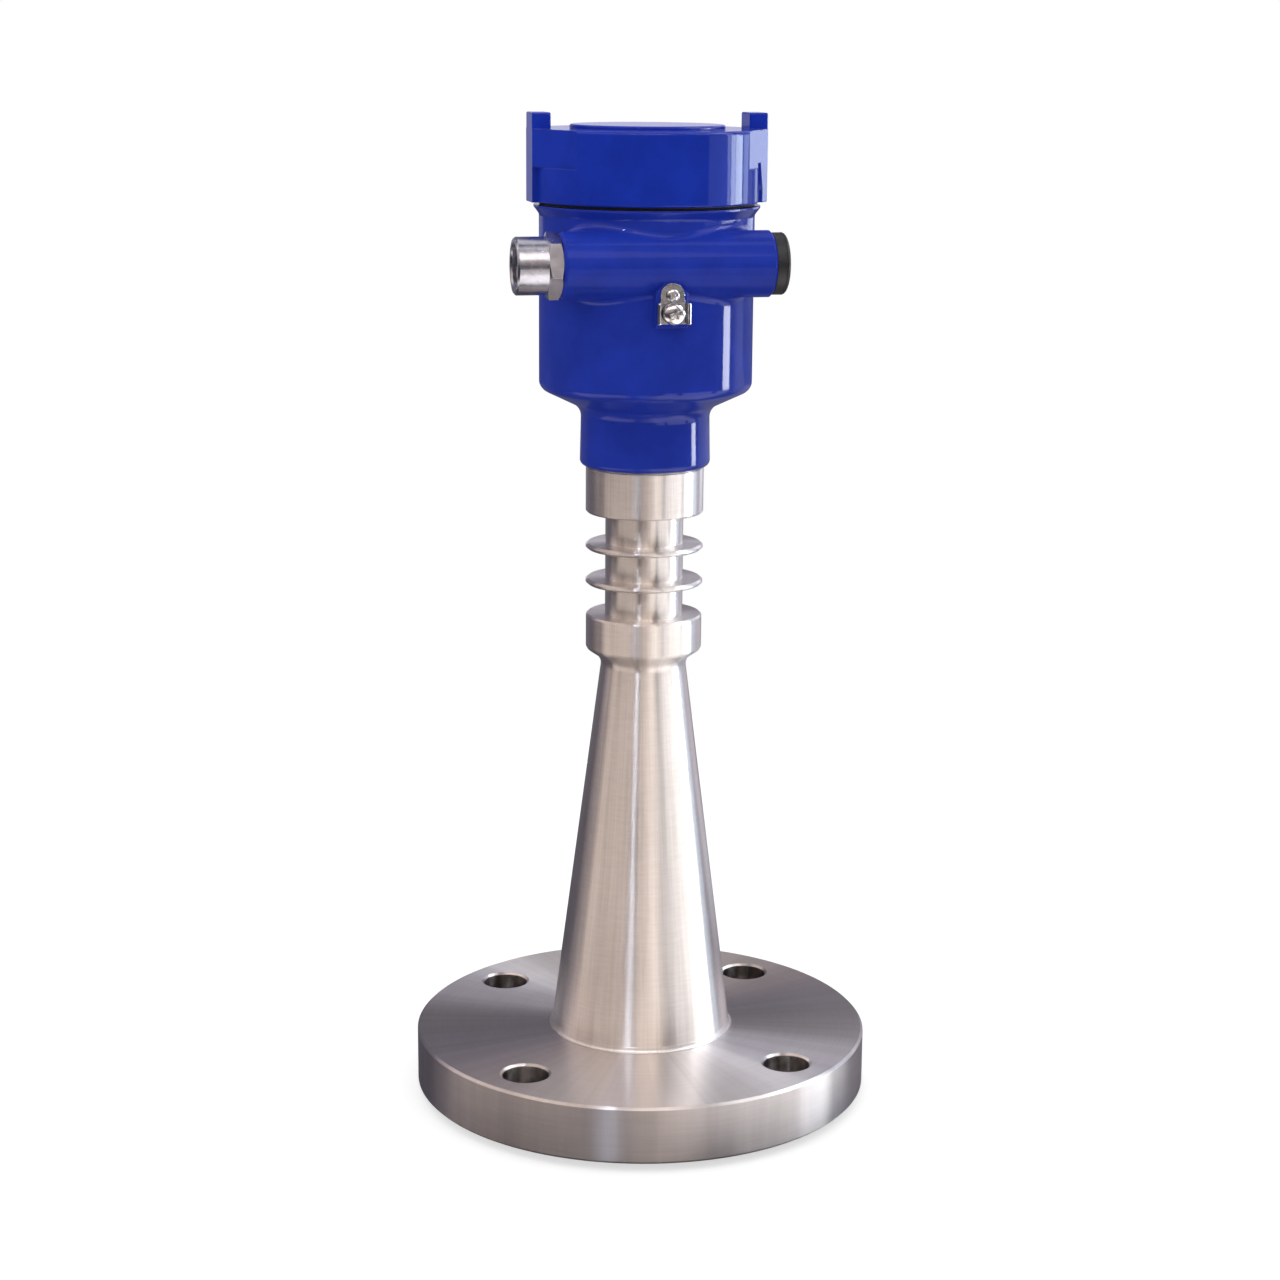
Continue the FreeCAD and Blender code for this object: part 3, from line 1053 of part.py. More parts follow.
def make_earth_terminal():
    """Plate, locating pin, saddle clamp, spring washer and screw in front."""
    plate = new_body("earth_plate")
    sketch = new_sketch(plate, "PlateOutline", "XZ_Plane", offset="pad_face")
    foot = amount("deck + plate_foot_rise")
    crown = amount("deck + pin_rise")
    half = amount("plate_half")
    low_left = FreeCAD.Vector(-half, foot, 0)
    low_right = FreeCAD.Vector(half, foot, 0)
    high_right = FreeCAD.Vector(half, crown, 0)
    high_left = FreeCAD.Vector(-half, crown, 0)
    half_turn = math.pi
    upright = FreeCAD.Vector(0, 0, 1)
    arc = Part.ArcOfCircle(Part.Circle(FreeCAD.Vector(0, crown, 0), upright, half), 0, half_turn)
    sketch.addGeometry(Part.LineSegment(low_left, low_right))
    sketch.addGeometry(Part.LineSegment(low_right, high_right))
    sketch.addGeometry(arc)
    sketch.addGeometry(Part.LineSegment(high_left, low_left))
    sketch.addConstraint(Sketcher.Constraint("Coincident", 0, 2, 1, 1))
    sketch.addConstraint(Sketcher.Constraint("Tangent", 1, 2, 2, 1))
    sketch.addConstraint(Sketcher.Constraint("Tangent", 2, 2, 3, 1))
    sketch.addConstraint(Sketcher.Constraint("Coincident", 3, 2, 0, 1))
    pin_point(sketch, 0, 1, "- plate_half", "deck + plate_foot_rise")
    pin_point(sketch, 0, 2, "plate_half", "deck + plate_foot_rise")
    pin_point(sketch, 2, 3, "0", "deck + pin_rise")
    draw_circle(sketch, "0", "deck + earth_rise", "plate_hole")
    draw_circle(sketch, "0", "deck + pin_rise", "pin_bore")
    extrude(plate, "Plate", sketch, "plate_thick")

    pin = new_body("earth_pin")
    place(pin, (1, 0, 0), 90, y="- pad_face - plate_thick", z="deck + pin_rise")
    revolve(pin, "Pin", [
        ("0", "- plate_thick - pin_bore_depth + pin_hole_room"),
        ("pin_shank", "- plate_thick - pin_bore_depth + pin_hole_room"),
        ("pin_shank", "0"),
        ("pin_head_radius", "0"),
        ("pin_head_radius", "pin_head_height - pin_crown_height"),
        ("pin_head_radius - pin_crown_width", "pin_head_height"),
        ("0", "pin_head_height"),
    ])

    clamp = new_body("earth_clamp")
    sketch = new_sketch(clamp, "ClampChannel", "XY_Plane",
                        offset="deck + earth_rise - clamp_half_height")
    near = "- pad_face - plate_thick"
    draw_loop(sketch, [
        ("- clamp_half", near),
        ("clamp_half", near),
        ("clamp_half", near + " - ear"),
        ("clamp_half - clamp_thick", near + " - ear"),
        ("clamp_half - clamp_thick", near + " - clamp_thick"),
        ("- clamp_half + clamp_thick", near + " - clamp_thick"),
        ("- clamp_half + clamp_thick", near + " - ear"),
        ("- clamp_half", near + " - ear"),
    ])
    extrude(clamp, "Channel", sketch, "clamp_half_height + clamp_half_height")
    hole = new_sketch(clamp, "ClampHoleCircle", "XZ_Plane")
    draw_circle(hole, "0", "deck + earth_rise", "plate_hole")
    extrude(clamp, "ClampHole", hole, "pad_face + plate_thick + ear + cut_over", cut=True, back=True)
    bends = []
    for index, edge in enumerate(clamp.Tip.Shape.Edges, start=1):
        box = edge.BoundBox
        back = abs(box.YMin + amount("pad_face + plate_thick")) < NEAR
        wide = abs(abs(box.Center.x) - amount("clamp_half")) < NEAR
        if box.ZLength > 1 and back and wide:
            bends.append("Edge%d" % index)
    dress(clamp, "Fillet", "BendRound", bends, "clamp_round")

    washer = new_body("earth_washer")
    place(washer, (1, 0, 0), 90, y="- pad_face - plate_thick - clamp_thick",
          z="deck + earth_rise")
    revolve(washer, "Washer", [
        ("washer_bore", "0"),
        ("washer_radius", "0"),
        ("washer_radius", "washer_thick"),
        ("washer_bore", "washer_thick"),
    ], sweep="washer_sweep")

    screw = new_body("earth_screw")
    stack = "plate_thick + clamp_thick + washer_thick"
    place(screw, (1, 0, 0), 90, y="- pad_face - " + stack.replace("+", "-"),
          z="deck + earth_rise")
    revolve(screw, "Screw", [
        ("0", "- earth_shank_reach - " + stack.replace("+", "-")),
        ("earth_shank", "- earth_shank_reach - " + stack.replace("+", "-")),
        ("earth_shank", "0"),
        ("earth_head_radius", "0"),
        ("earth_head_radius", "earth_head_height"),
        ("0", "earth_head_height"),
    ])
    crown = rims(screw, "earth_head_radius", "earth_head_height")
    dress(screw, "Fillet", "HeadRound", crown, "earth_head_round")
    for name, across, along in (
        ("SlotAcross", "slot_reach", "slot_half"),
        ("SlotAlong", "slot_half", "slot_reach"),
    ):
        slot = new_sketch(screw, name + "Outline", "XY_Plane", offset="earth_head_height")
        draw_loop(slot, [
            ("- " + across, "- " + along),
            (across, "- " + along),
            (across, along),
            ("- " + across, along),
        ])
        extrude(screw, name, slot, "slot_depth", cut=True)


def make_lock_screw():
    """Headless screw in the back of the housing neck that stops the swivel."""
    body = new_body("swivel_lock_screw")
    place(body, (1, 0, 0), -90, y="lock_end", z="deck + lock_rise")
    revolve(body, "Screw", [
        ("0", "lock_start - lock_end"),
        ("lock_radius - lock_point", "lock_start - lock_end"),
        ("lock_radius", "lock_start - lock_end + lock_point"),
        ("lock_radius", "0"),
        ("0", "0"),
    ])
    sketch = new_sketch(body, "SocketOutline", "XY_Plane")
    draw_circle(sketch, "0", "0", "lock_socket")
    extrude(body, "Socket", sketch, "lock_socket_depth", cut=True)


def make_electronics():
    """Pot, boards, spacers and microwave module under the terminal deck."""
    pot = new_body("electronics_pot", lift="deck + ledge_rise")
    revolve(pot, "Shell", [
        ("0", "0"),
        ("pot_radius", "0"),
        ("pot_radius", "pot_top_rise - ledge_rise"),
        ("pot_radius - pot_wall", "pot_top_rise - ledge_rise"),
        ("pot_radius - pot_wall", "pot_floor"),
        ("0", "pot_floor"),
    ])
    columns = new_sketch(pot, "ColumnCircles", "XY_Plane", offset="pot_floor")
    for across in ("column_x", "- column_x"):
        draw_circle(columns, across, "column_y", "column_radius")
    extrude(pot, "Columns", columns, "pot_top_rise - ledge_rise - pot_floor")
    holes = new_sketch(pot, "ColumnHoleCircles", "XY_Plane", offset="pot_top_rise - ledge_rise")
    for across in ("column_x", "- column_x"):
        draw_circle(holes, across, "column_y", "column_hole")
    extrude(pot, "ColumnHoles", holes, cut=True)
    post = new_sketch(pot, "PostCircle", "XY_Plane", offset="pot_floor")
    draw_circle(post, "0", "post_circle", "post_radius")
    repeat_round(pot, "Posts", [extrude(pot, "Post", post, "post_height")], "post_count")

    rise = "deck + ledge_rise + pot_floor + post_height"
    for label, lift in (
        ("main_board", rise),
        ("upper_board", rise + " + board_thick + spacer_height"),
    ):
        board = new_body(label, lift=lift)
        sketch = new_sketch(board, "BoardOutline", "XY_Plane")
        draw_circle(sketch, "0", "0", "board_radius")
        extrude(board, "Board", sketch, "board_thick")
        chip = new_sketch(board, "ChipOutline", "XY_Plane", offset="board_thick")
        draw_loop(chip, [
            ("- chip_long + chip_wide", "- chip_wide + chip_set"),
            ("chip_wide", "- chip_wide + chip_set"),
            ("chip_wide", "chip_set"),
            ("- chip_long + chip_wide", "chip_set"),
        ])
        extrude(board, "Chip", chip, "chip_high")
        hole = new_sketch(board, "FixingCircle", "XY_Plane", offset="board_thick")
        draw_circle(hole, "0", "post_circle", "board_hole")
        fixing = extrude(board, "Fixing", hole, cut=True)
        repeat_round(board, "Fixings", [fixing], "post_count")

    spacers = new_body("board_spacers", lift=rise + " + board_thick")
    spacers.AllowCompound = True
    sketch = new_sketch(spacers, "SpacerCircle", "XY_Plane")
    draw_circle(sketch, "0", "post_circle", "spacer_radius")
    spacer = extrude(spacers, "Spacer", sketch, "spacer_height")
    repeat_round(spacers, "Spacers", [spacer], "post_count")

    module = new_body("microwave_module")
    revolve(module, "Module", [
        ("guide_radius + lens_gap", "deck + module_foot_rise"),
        ("module_radius", "deck + module_foot_rise"),
        ("module_radius", "deck + ledge_rise"),
        ("0", "deck + ledge_rise"),
        ("0", "deck + module_socket_top"),
        ("guide_radius + lens_gap", "deck + module_socket_top"),
    ])


def make_terminals():
    """Deck over the pot with the terminal block and its screws."""
    deck_top = "deck + pot_top_rise + deck_thick"
    cover = new_body("terminal_deck", lift="deck + pot_top_rise")
    sketch = new_sketch(cover, "DeckOutline", "XY_Plane")
    draw_circle(sketch, "0", "0", "pot_radius")
    for across in ("column_x", "- column_x"):
        draw_circle(sketch, across, "column_y", "column_hole")
    extrude(cover, "Deck", sketch, "deck_thick")
    bond = new_sketch(cover, "BondHoleCircle", "XY_Plane", offset="deck_thick")
    draw_circle(bond, "bond_x", "- bond_y", "bond_hole")
    extrude(cover, "BondHole", bond, "bond_hole_depth", cut=True)

    block = new_body("terminal_block", lift=deck_top)
    sketch = new_sketch(block, "BlockOutline", "XY_Plane")
    draw_loop(sketch, [
        ("- block_half", "block_y"),
        ("block_half", "block_y"),
        ("block_half", "block_y + block_wide"),
        ("- block_half", "block_y + block_wide"),
    ])
    extrude(block, "Block", sketch, "block_high")
    hole = new_sketch(block, "PoleHoleCircle", "XY_Plane", offset="block_high")
    draw_circle(hole, "pole_start", "block_y + pole_set", "pole_hole_radius")
    pole = extrude(block, "PoleHole", hole, "pole_hole_depth", cut=True)
    entry = new_sketch(block, "WireEntryOutline", "XZ_Plane", offset="0 - block_y")
    draw_loop(entry, [
        ("wire_hole_start", "wire_hole_foot"),
        ("wire_hole_start + wire_hole", "wire_hole_foot"),
        ("wire_hole_start + wire_hole", "wire_hole_foot + wire_hole"),
        ("wire_hole_start", "wire_hole_foot + wire_hole"),
    ])
    wire = extrude(block, "WireEntry", entry, "wire_hole_depth", cut=True)
    repeat_along(block, "Poles", [pole, wire], "X_Axis", "pole_span", "pole_count")

    screws = new_body("terminal_screws", lift=deck_top + " + block_high - pole_hole_depth")
    screws.AllowCompound = True
    sketch = new_sketch(screws, "PoleScrewCircle", "XY_Plane")
    draw_circle(sketch, "pole_start", "block_y + pole_set", "pole_screw_radius")
    screw = extrude(screws, "PoleScrew", sketch, "pole_screw_high")
    slot = new_sketch(screws, "PoleSlotOutline", "XY_Plane", offset="pole_screw_high")
    draw_loop(slot, [
        ("pole_start - pole_slot_half", "block_y + pole_set - pole_slot_width"),
        ("pole_start + pole_slot_half", "block_y + pole_set - pole_slot_width"),
        ("pole_start + pole_slot_half", "block_y + pole_set + pole_slot_width"),
        ("pole_start - pole_slot_half", "block_y + pole_set + pole_slot_width"),
    ])
    notch = extrude(screws, "PoleSlot", slot, "pole_slot_depth", cut=True)
    repeat_along(screws, "PoleScrews", [screw, notch], "X_Axis", "pole_span", "pole_count")

    fixings = new_body("deck_screws", lift=deck_top)
    fixings.AllowCompound = True
    sketch = new_sketch(fixings, "ShankCircle", "XY_Plane")
    draw_circle(sketch, "column_x", "column_y", "deck_screw_shank")
    reach = "pot_top_rise + deck_thick - ledge_rise + ledge_hole_depth - ledge_hole_room"
    shank = extrude(fixings, "Shank", sketch, reach, back=True)
    sketch = new_sketch(fixings, "HeadCircle", "XY_Plane")
    draw_circle(sketch, "column_x", "column_y", "deck_screw_head")
    head = extrude(fixings, "Head", sketch, "deck_screw_head_high")
    mirror_across(fixings, "OtherScrew", [shank, head], "YZ_Plane")

    earth = new_body("inner_earth_screw")
    place(earth, (0, 0, 1), 0, x="bond_x", y="- bond_y", z=deck_top)
    revolve(earth, "BondScrew", [
        ("0", "- bond_hole_depth + bond_hole_room"),
        ("bond_shank", "- bond_hole_depth + bond_hole_room"),
        ("bond_shank", "0"),
        ("bond_head", "0"),
        ("bond_head", "bond_high - bond_bevel"),
        ("bond_head - bond_bevel", "bond_high"),
        ("0", "bond_high"),
    ])


make_lens()
make_flange()
make_horn()
make_weld_bead()
make_neck()
make_neck_fittings()
make_housing()
make_lid()
make_adapter()
make_plug()
make_earth_terminal()
make_lock_screw()
make_electronics()
make_terminals()
doc.recompute()

for item in doc.Objects:
    if "Invalid" in item.State or "Error" in item.State:
        raise RuntimeError("%s did not compute: %s" % (item.Name, item.State))
pieces = [item for item in doc.Objects if item.TypeId in ("PartDesign::Body", "Part::Torus")]
for item in pieces:
    if item.Shape.isNull() or not item.Shape.isValid():
        raise RuntimeError("%s has no sound shape" % item.Label)

os.makedirs("parts", exist_ok=True)
for item in pieces:
    item.Shape.exportStep("parts/%s.step" % item.Label)
    box = item.Shape.BoundBox
    print("%-20s %d solids, volume %.1f cm3, z %.2f to %.2f" % (
        item.Label, len(item.Shape.Solids), item.Shape.Volume / 1000, box.ZMin, box.ZMax))
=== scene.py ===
"""Looks of a radar level transmitter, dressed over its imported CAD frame.

Everything is in metres in the frame of the CAD model: +Z up along the antenna
axis, X along the cable entries and the outside earth terminal towards -Y.
"""

import json
import logging
import math
from dataclasses import dataclass
from enum import Enum
from functools import reduce
from typing import Callable, Iterable, Sequence

import bmesh
import bpy
from mathutils import Matrix, Vector

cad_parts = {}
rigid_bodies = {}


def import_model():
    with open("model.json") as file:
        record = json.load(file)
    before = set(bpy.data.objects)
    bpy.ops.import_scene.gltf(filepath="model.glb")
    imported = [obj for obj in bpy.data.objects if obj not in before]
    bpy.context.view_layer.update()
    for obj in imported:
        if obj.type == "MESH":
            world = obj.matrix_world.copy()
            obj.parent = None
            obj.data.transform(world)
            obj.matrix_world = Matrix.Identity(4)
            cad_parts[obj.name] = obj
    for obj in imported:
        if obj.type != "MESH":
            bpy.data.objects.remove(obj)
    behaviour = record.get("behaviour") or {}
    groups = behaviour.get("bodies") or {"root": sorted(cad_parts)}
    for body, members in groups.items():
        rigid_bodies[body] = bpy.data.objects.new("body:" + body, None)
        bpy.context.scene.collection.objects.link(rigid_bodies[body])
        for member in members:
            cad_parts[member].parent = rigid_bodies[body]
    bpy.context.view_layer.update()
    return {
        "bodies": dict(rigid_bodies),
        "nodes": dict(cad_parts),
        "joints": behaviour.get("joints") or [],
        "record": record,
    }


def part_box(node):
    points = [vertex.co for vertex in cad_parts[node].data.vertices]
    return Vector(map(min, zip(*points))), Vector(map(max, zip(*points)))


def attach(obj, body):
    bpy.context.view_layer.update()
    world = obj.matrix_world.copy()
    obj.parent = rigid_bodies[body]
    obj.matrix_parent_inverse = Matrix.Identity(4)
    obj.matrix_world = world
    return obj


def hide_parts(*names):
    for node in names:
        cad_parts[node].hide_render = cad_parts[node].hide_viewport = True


LOG = logging.getLogger("radar_transmitter")
MM = 0.001
TUBE_RADIUS = 13.0 * MM
SINK = 0.02 * MM
STEEL_EDGE = 0.35 * MM
PAINT_EDGE = 0.5 * MM
PLATED_EDGE = 0.15 * MM
MOULDED_EDGE = 0.25 * MM
SHARP = 35.0

Colour = tuple[float, float, float]
Point = tuple[float, float]
Socket = bpy.types.NodeSocket


class Body(Enum):
    """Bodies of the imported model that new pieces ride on."""

    FITTING = "fitting"
    HEAD = "head"


class Slot(Enum):
    """Material slots of the record."""

    LENS = "lens"
    FLANGE = "flange_steel"
    HORN = "horn_steel"
    WELD = "weld"
    NECK = "neck_steel"
    WINDOW = "window"
    BRASS = "brass"
    RUBBER = "rubber"
    SPRING = "spring_steel"
    PAINT = "paint"
    LID_PAINT = "lid_paint"
    CHROME = "chrome"
    PLUG = "plug"
    PLATED = "plated"
    DARK = "dark_steel"
    POT = "pot"
    DECK = "deck_plastic"
    BOARD = "board"
    SPACER = "spacer"
    MODULE = "module"
    BLOCK = "block"


class Axis(Enum):
    """Axis that a turned surface was turned about."""

    X = "X"
    Z = "Z"


class Graph:
    """Short-hand for writing one shader tree."""

    def __init__(self, tree: bpy.types.NodeTree) -> None:
        """Clears the tree that the nodes go into."""
        self.tree = tree
        tree.nodes.clear()

    def node(self, kind: str, inputs: dict[str | int, object] | None = None,
             **settings: object) -> bpy.types.Node:
        """Adds a node.

        Args:
            kind: Node type name without its ShaderNode prefix.
            inputs: Values or sockets for the node's inputs, by name or place.
            **settings: Attributes of the node.

        Returns:
            The new node.
        """
        made = self.tree.nodes.new("ShaderNode" + kind)
        for name, value in settings.items():
            setattr(made, name, value)
        for name, value in (inputs or {}).items():
            self.feed(made.inputs[name], value)
        return made

    def feed(self, socket: Socket, value: object) -> None:
        """Links a socket to an input, or writes a plain value into it.

        Args:
            socket: The input.
            value: An output socket, a number, a vector or a colour.
        """
        if isinstance(value, bpy.types.NodeSocket):
            self.tree.links.new(value, socket)
        elif isinstance(value, tuple) and len(value) == 3 and socket.type == "RGBA":
            socket.default_value = (*value, 1.0)
        else:
            socket.default_value = value

    def math(self, operation: str, *terms: float | Socket) -> Socket:
        """Result of one arithmetic step."""
        return self.node("Math", dict(enumerate(terms)), operation=operation).outputs[0]

    def times(self, first: Socket, second: float | Socket) -> Socket:
        """Product of two values."""
        return self.math("MULTIPLY", first, second)

    def total(self, terms: Sequence[Socket]) -> Socket:
        """Sum of several values."""
        return reduce(lambda result, term: self.math("ADD", result, term), terms)

    def smooth(self, value: Socket, low: float, high: float, start: float = 0.0,
               end: float = 1.0) -> Socket:
        """Eases from start to end while the value goes from low to high."""
        return self.node("MapRange", {"From Min": low, "From Max": high, "To Min": start,
                                      "To Max": end, "Value": value},
                         interpolation_type="SMOOTHSTEP", clamp=True).outputs["Result"]

    def band(self, value: Socket, low: float, high: float, edge: float) -> Socket:
        """1 between low and high, falling to 0 over the edge outside them."""
        return self.times(self.smooth(value, low - edge, low),
                          self.smooth(value, high, high + edge, 1.0, 0.0))

    def mix(self, factor: float | Socket, first: object, second: object) -> Socket:
        """Blends two colours."""
        return self.node("Mix", {0: factor, 6: first, 7: second}, data_type="RGBA").outputs[2]

    def shades(self, colour: Colour, tone: Socket, deep: float, fresh: float, top: float) -> Socket:
        """Goes from a colour times deep to it times fresh, with no part above top."""
        return self.mix(tone, tuple(part * deep for part in colour),
                        tuple(min(part * fresh, top) for part in colour))

    def place(self) -> Socket:
        """Object coordinates, which are the CAD frame's on every piece."""
        return self.node("TexCoord").outputs["Object"]

    def split(self, vector: Socket) -> tuple[Socket, Socket, Socket]:
        """X, Y and Z of a vector."""
        return tuple(self.node("SeparateXYZ", {0: vector}).outputs)

    def join(self, x: float | Socket, y: float | Socket, z: float | Socket) -> Socket:
        """A vector from its three parts."""
        return self.node("CombineXYZ", {0: x, 1: y, 2: z}).outputs[0]

    def noise(self, vector: Socket, scale: float, detail: float = 3.0,
              rough: float = 0.5) -> Socket:
        """Fractal noise between about 0.25 and 0.75."""
        return self.node("TexNoise", {"Vector": vector, "Scale": scale, "Detail": detail,
                                      "Roughness": rough}).outputs[0]

    def bump(self, height: Socket, distance: float, strength: float, normal: Socket) -> Socket:
        """Turns a height between 0 and 1 into a shaded relief of the distance."""
        return self.node("Bump", {"Height": height, "Distance": distance, "Strength": strength,
                                  "Normal": normal}).outputs[0]

    def rounded(self, radius: float) -> Socket:
        """A normal that rounds off sharp edges by the radius."""
        return self.node("Bevel", {"Radius": radius}, samples=4).outputs[0]

    def edge(self, rounded: Socket) -> Socket:
        """About 1 where a rounded normal leaves the true one, and 0 elsewhere."""
        alike = self.node("VectorMath", {0: self.node("NewGeometry").outputs["Normal"], 1: rounded},
                          operation="DOT_PRODUCT").outputs["Value"]
        return self.smooth(alike, 0.80, 0.995, 1.0, 0.0)

    def hypotenuse(self, across: Socket, aside: Socket) -> Socket:
        """Distance from two of its parts."""
        return self.math("SQRT", self.total([self.times(across, across), self.times(aside, aside)]))

    def scaled(self, colour: Colour | Socket, factor: Socket) -> Socket:
        """A colour times a factor, which may pass 1."""
        return self.node("VectorMath", {0: colour, "Scale": factor}, operation="SCALE").outputs[0]

    def plus(self, first: Socket, second: Socket) -> Socket:
        """Sum of two colours, which may pass 1."""
        return self.node("VectorMath", {0: first, 1: second}, operation="ADD").outputs[0]

    def rays(self) -> tuple[Socket, Socket]:
        """Tells rays apart.

        Returns:
            1 for camera rays, and 1 for rays that metal, gloss or glass sends.
        """
        path = self.node("LightPath").outputs
        mirrored = self.math("MAXIMUM", path["Is Glossy Ray"], path["Is Transmission Ray"])
        return path["Is Camera Ray"], mirrored

    def finish(self, shader: bpy.types.Node, kind: str = "OutputMaterial") -> None:
        """Links a shader to the output of the tree."""
        self.node(kind, {"Surface": shader.outputs[0]})


def new_material(name: str) -> tuple[bpy.types.Material, Graph]:
    """Makes an empty material.

    Args:
        name: Name of the material.

    Returns:
        The material and the graph of its shader tree.
    """
    material = bpy.data.materials.new(name)
    material.use_nodes = True
    return material, Graph(material.node_tree)


@dataclass(frozen=True)
class TurningLine:
    """Where the axis of a turned piece runs.

    Attributes:
        axis: Direction of the axis.
        through: A point on it.
    """

    axis: Axis = Axis.Z
    through: tuple[float, float, float] = (0.0, 0.0, 0.0)

    def cylindrical(self, graph: Graph) -> tuple[Socket, Socket, Socket]:
        """Finds the shaded point in cylindrical coordinates.

        Args:
            graph: The tree that gets the nodes.

        Returns:
            Its radius, angle and height about the axis.
        """
        moved = graph.node("VectorMath", {0: graph.place(), 1: self.through},
                           operation="SUBTRACT").outputs[0]
        x, y, z = graph.split(moved)
        across, aside, along = {Axis.Z: (x, y, z), Axis.X: (y, z, x)}[self.axis]
        return graph.hypotenuse(across, aside), graph.math("ARCTAN2", aside, across), along


@dataclass(frozen=True)
class TurnedSteel:
    """Lathe-turned metal: fine rings, radial sheen, and edges lighter in colour, partly as wear and
    partly as a painted highlight.

    Attributes:
        name: Name of the material.
        colour: Reflected colour.
        roughness: Gloss along the grooves.
        anisotropy: How far the sheen is drawn out across the grooves.
        ring_height: Depth of the turned rings.
        ring_pitch: Feed of the tool.
        stain: Strength of the uneven tone.
        streak: Width of the streaks across the rings.
        bores: Radius band of the drilled holes, whose walls get painted shade.
        drag: Drag marks per metre.
        worn_and_highlit_edge: Colour of the edges, partly wear and partly a painted highlight.
        hole_shade_colour: Colour of the painted shade on the walls of the holes.
    """

    name: str
    colour: Colour
    roughness: float
    anisotropy: float = 1.0
    ring_height: float = 0.0010 * MM
    ring_pitch: float = 0.35 * MM
    stain: float = 0.06
    streak: float = 1.6 * MM
    bores: Point | None = None
    drag: float = 900.0
    worn_and_highlit_edge: Colour = (0.86, 0.84, 0.82)
    hole_shade_colour: Colour = (0.045, 0.036, 0.033)

    def build(self) -> bpy.types.Material:
        """Returns the finished material."""
        material, graph = new_material(self.name)
        radius, angle, height = TurningLine().cylindrical(graph)
        rings = graph.noise(graph.join(radius, 0.0, height), 1.0 / self.ring_pitch, 2.0, 0.6)
        sweep = graph.times(angle, 0.004)
        drag = graph.noise(graph.join(radius, sweep, height), self.drag, 4.0, 0.6)
        upright = graph.join(graph.times(angle, 0.04), 0.0, graph.times(height, 0.03))
        chatter = graph.noise(upright, 1.0 / self.streak, 3.0, 0.6)
        cloud = graph.noise(graph.place(), 22.0, 3.0, 0.5)
        corner = graph.rounded(STEEL_EDGE)
        edge_share = graph.edge(corner)
        tone = graph.total([graph.times(graph.math("SUBTRACT", part, 0.5), share)
                            for part, share in ((drag, 0.5), (cloud, 0.5), (chatter, 0.9))])
        colour = graph.shades(self.colour, graph.smooth(tone, -0.35, 0.35),
                              1.0 - 2.2 * self.stain, 1.0 + 1.4 * self.stain, 0.92)
        # Edges are lightened in colour: partly wear, partly a painted highlight.
        colour = graph.mix(graph.times(edge_share, 0.55), colour, self.worn_and_highlit_edge)
        # Painted shade: the walls of the drilled holes are darkened in blotches towards a
        # near-black colour, as if in the shade inside them.
        if self.bores:
            facing = graph.split(graph.node("NewGeometry").outputs["Normal"])[2]
            wall = graph.smooth(graph.math("ABSOLUTE", facing), 0.3, 0.8, 1.0, 0.0)
            drilled = graph.times(wall, graph.band(radius, *self.bores, 1.0 * MM))
            hole_shade = graph.smooth(graph.noise(graph.place(), 130.0), 0.35, 0.65, 0.62, 0.88)
            colour = graph.mix(graph.times(drilled, hole_shade), colour, self.hole_shade_colour)
        gloss = graph.math("ADD", graph.times(drag, 0.06), self.roughness - 0.03)
        relief = graph.bump(chatter, self.streak * 0.009, 1.0, corner)
        relief = graph.bump(rings, self.ring_height, 1.0, relief)
        relief = graph.bump(drag, self.ring_height * 0.8, 0.5, relief)
        tangent = graph.node("Tangent", direction_type="RADIAL", axis=Axis.Z.value).outputs[0]
        shader = graph.node("BsdfPrincipled", {
            "Base Color": colour, "Metallic": 1.0, "Roughness": gloss, "Normal": relief,
            "Anisotropic": self.anisotropy, "Anisotropic Rotation": 0.25, "Tangent": tangent})
        graph.finish(shader)
        return material


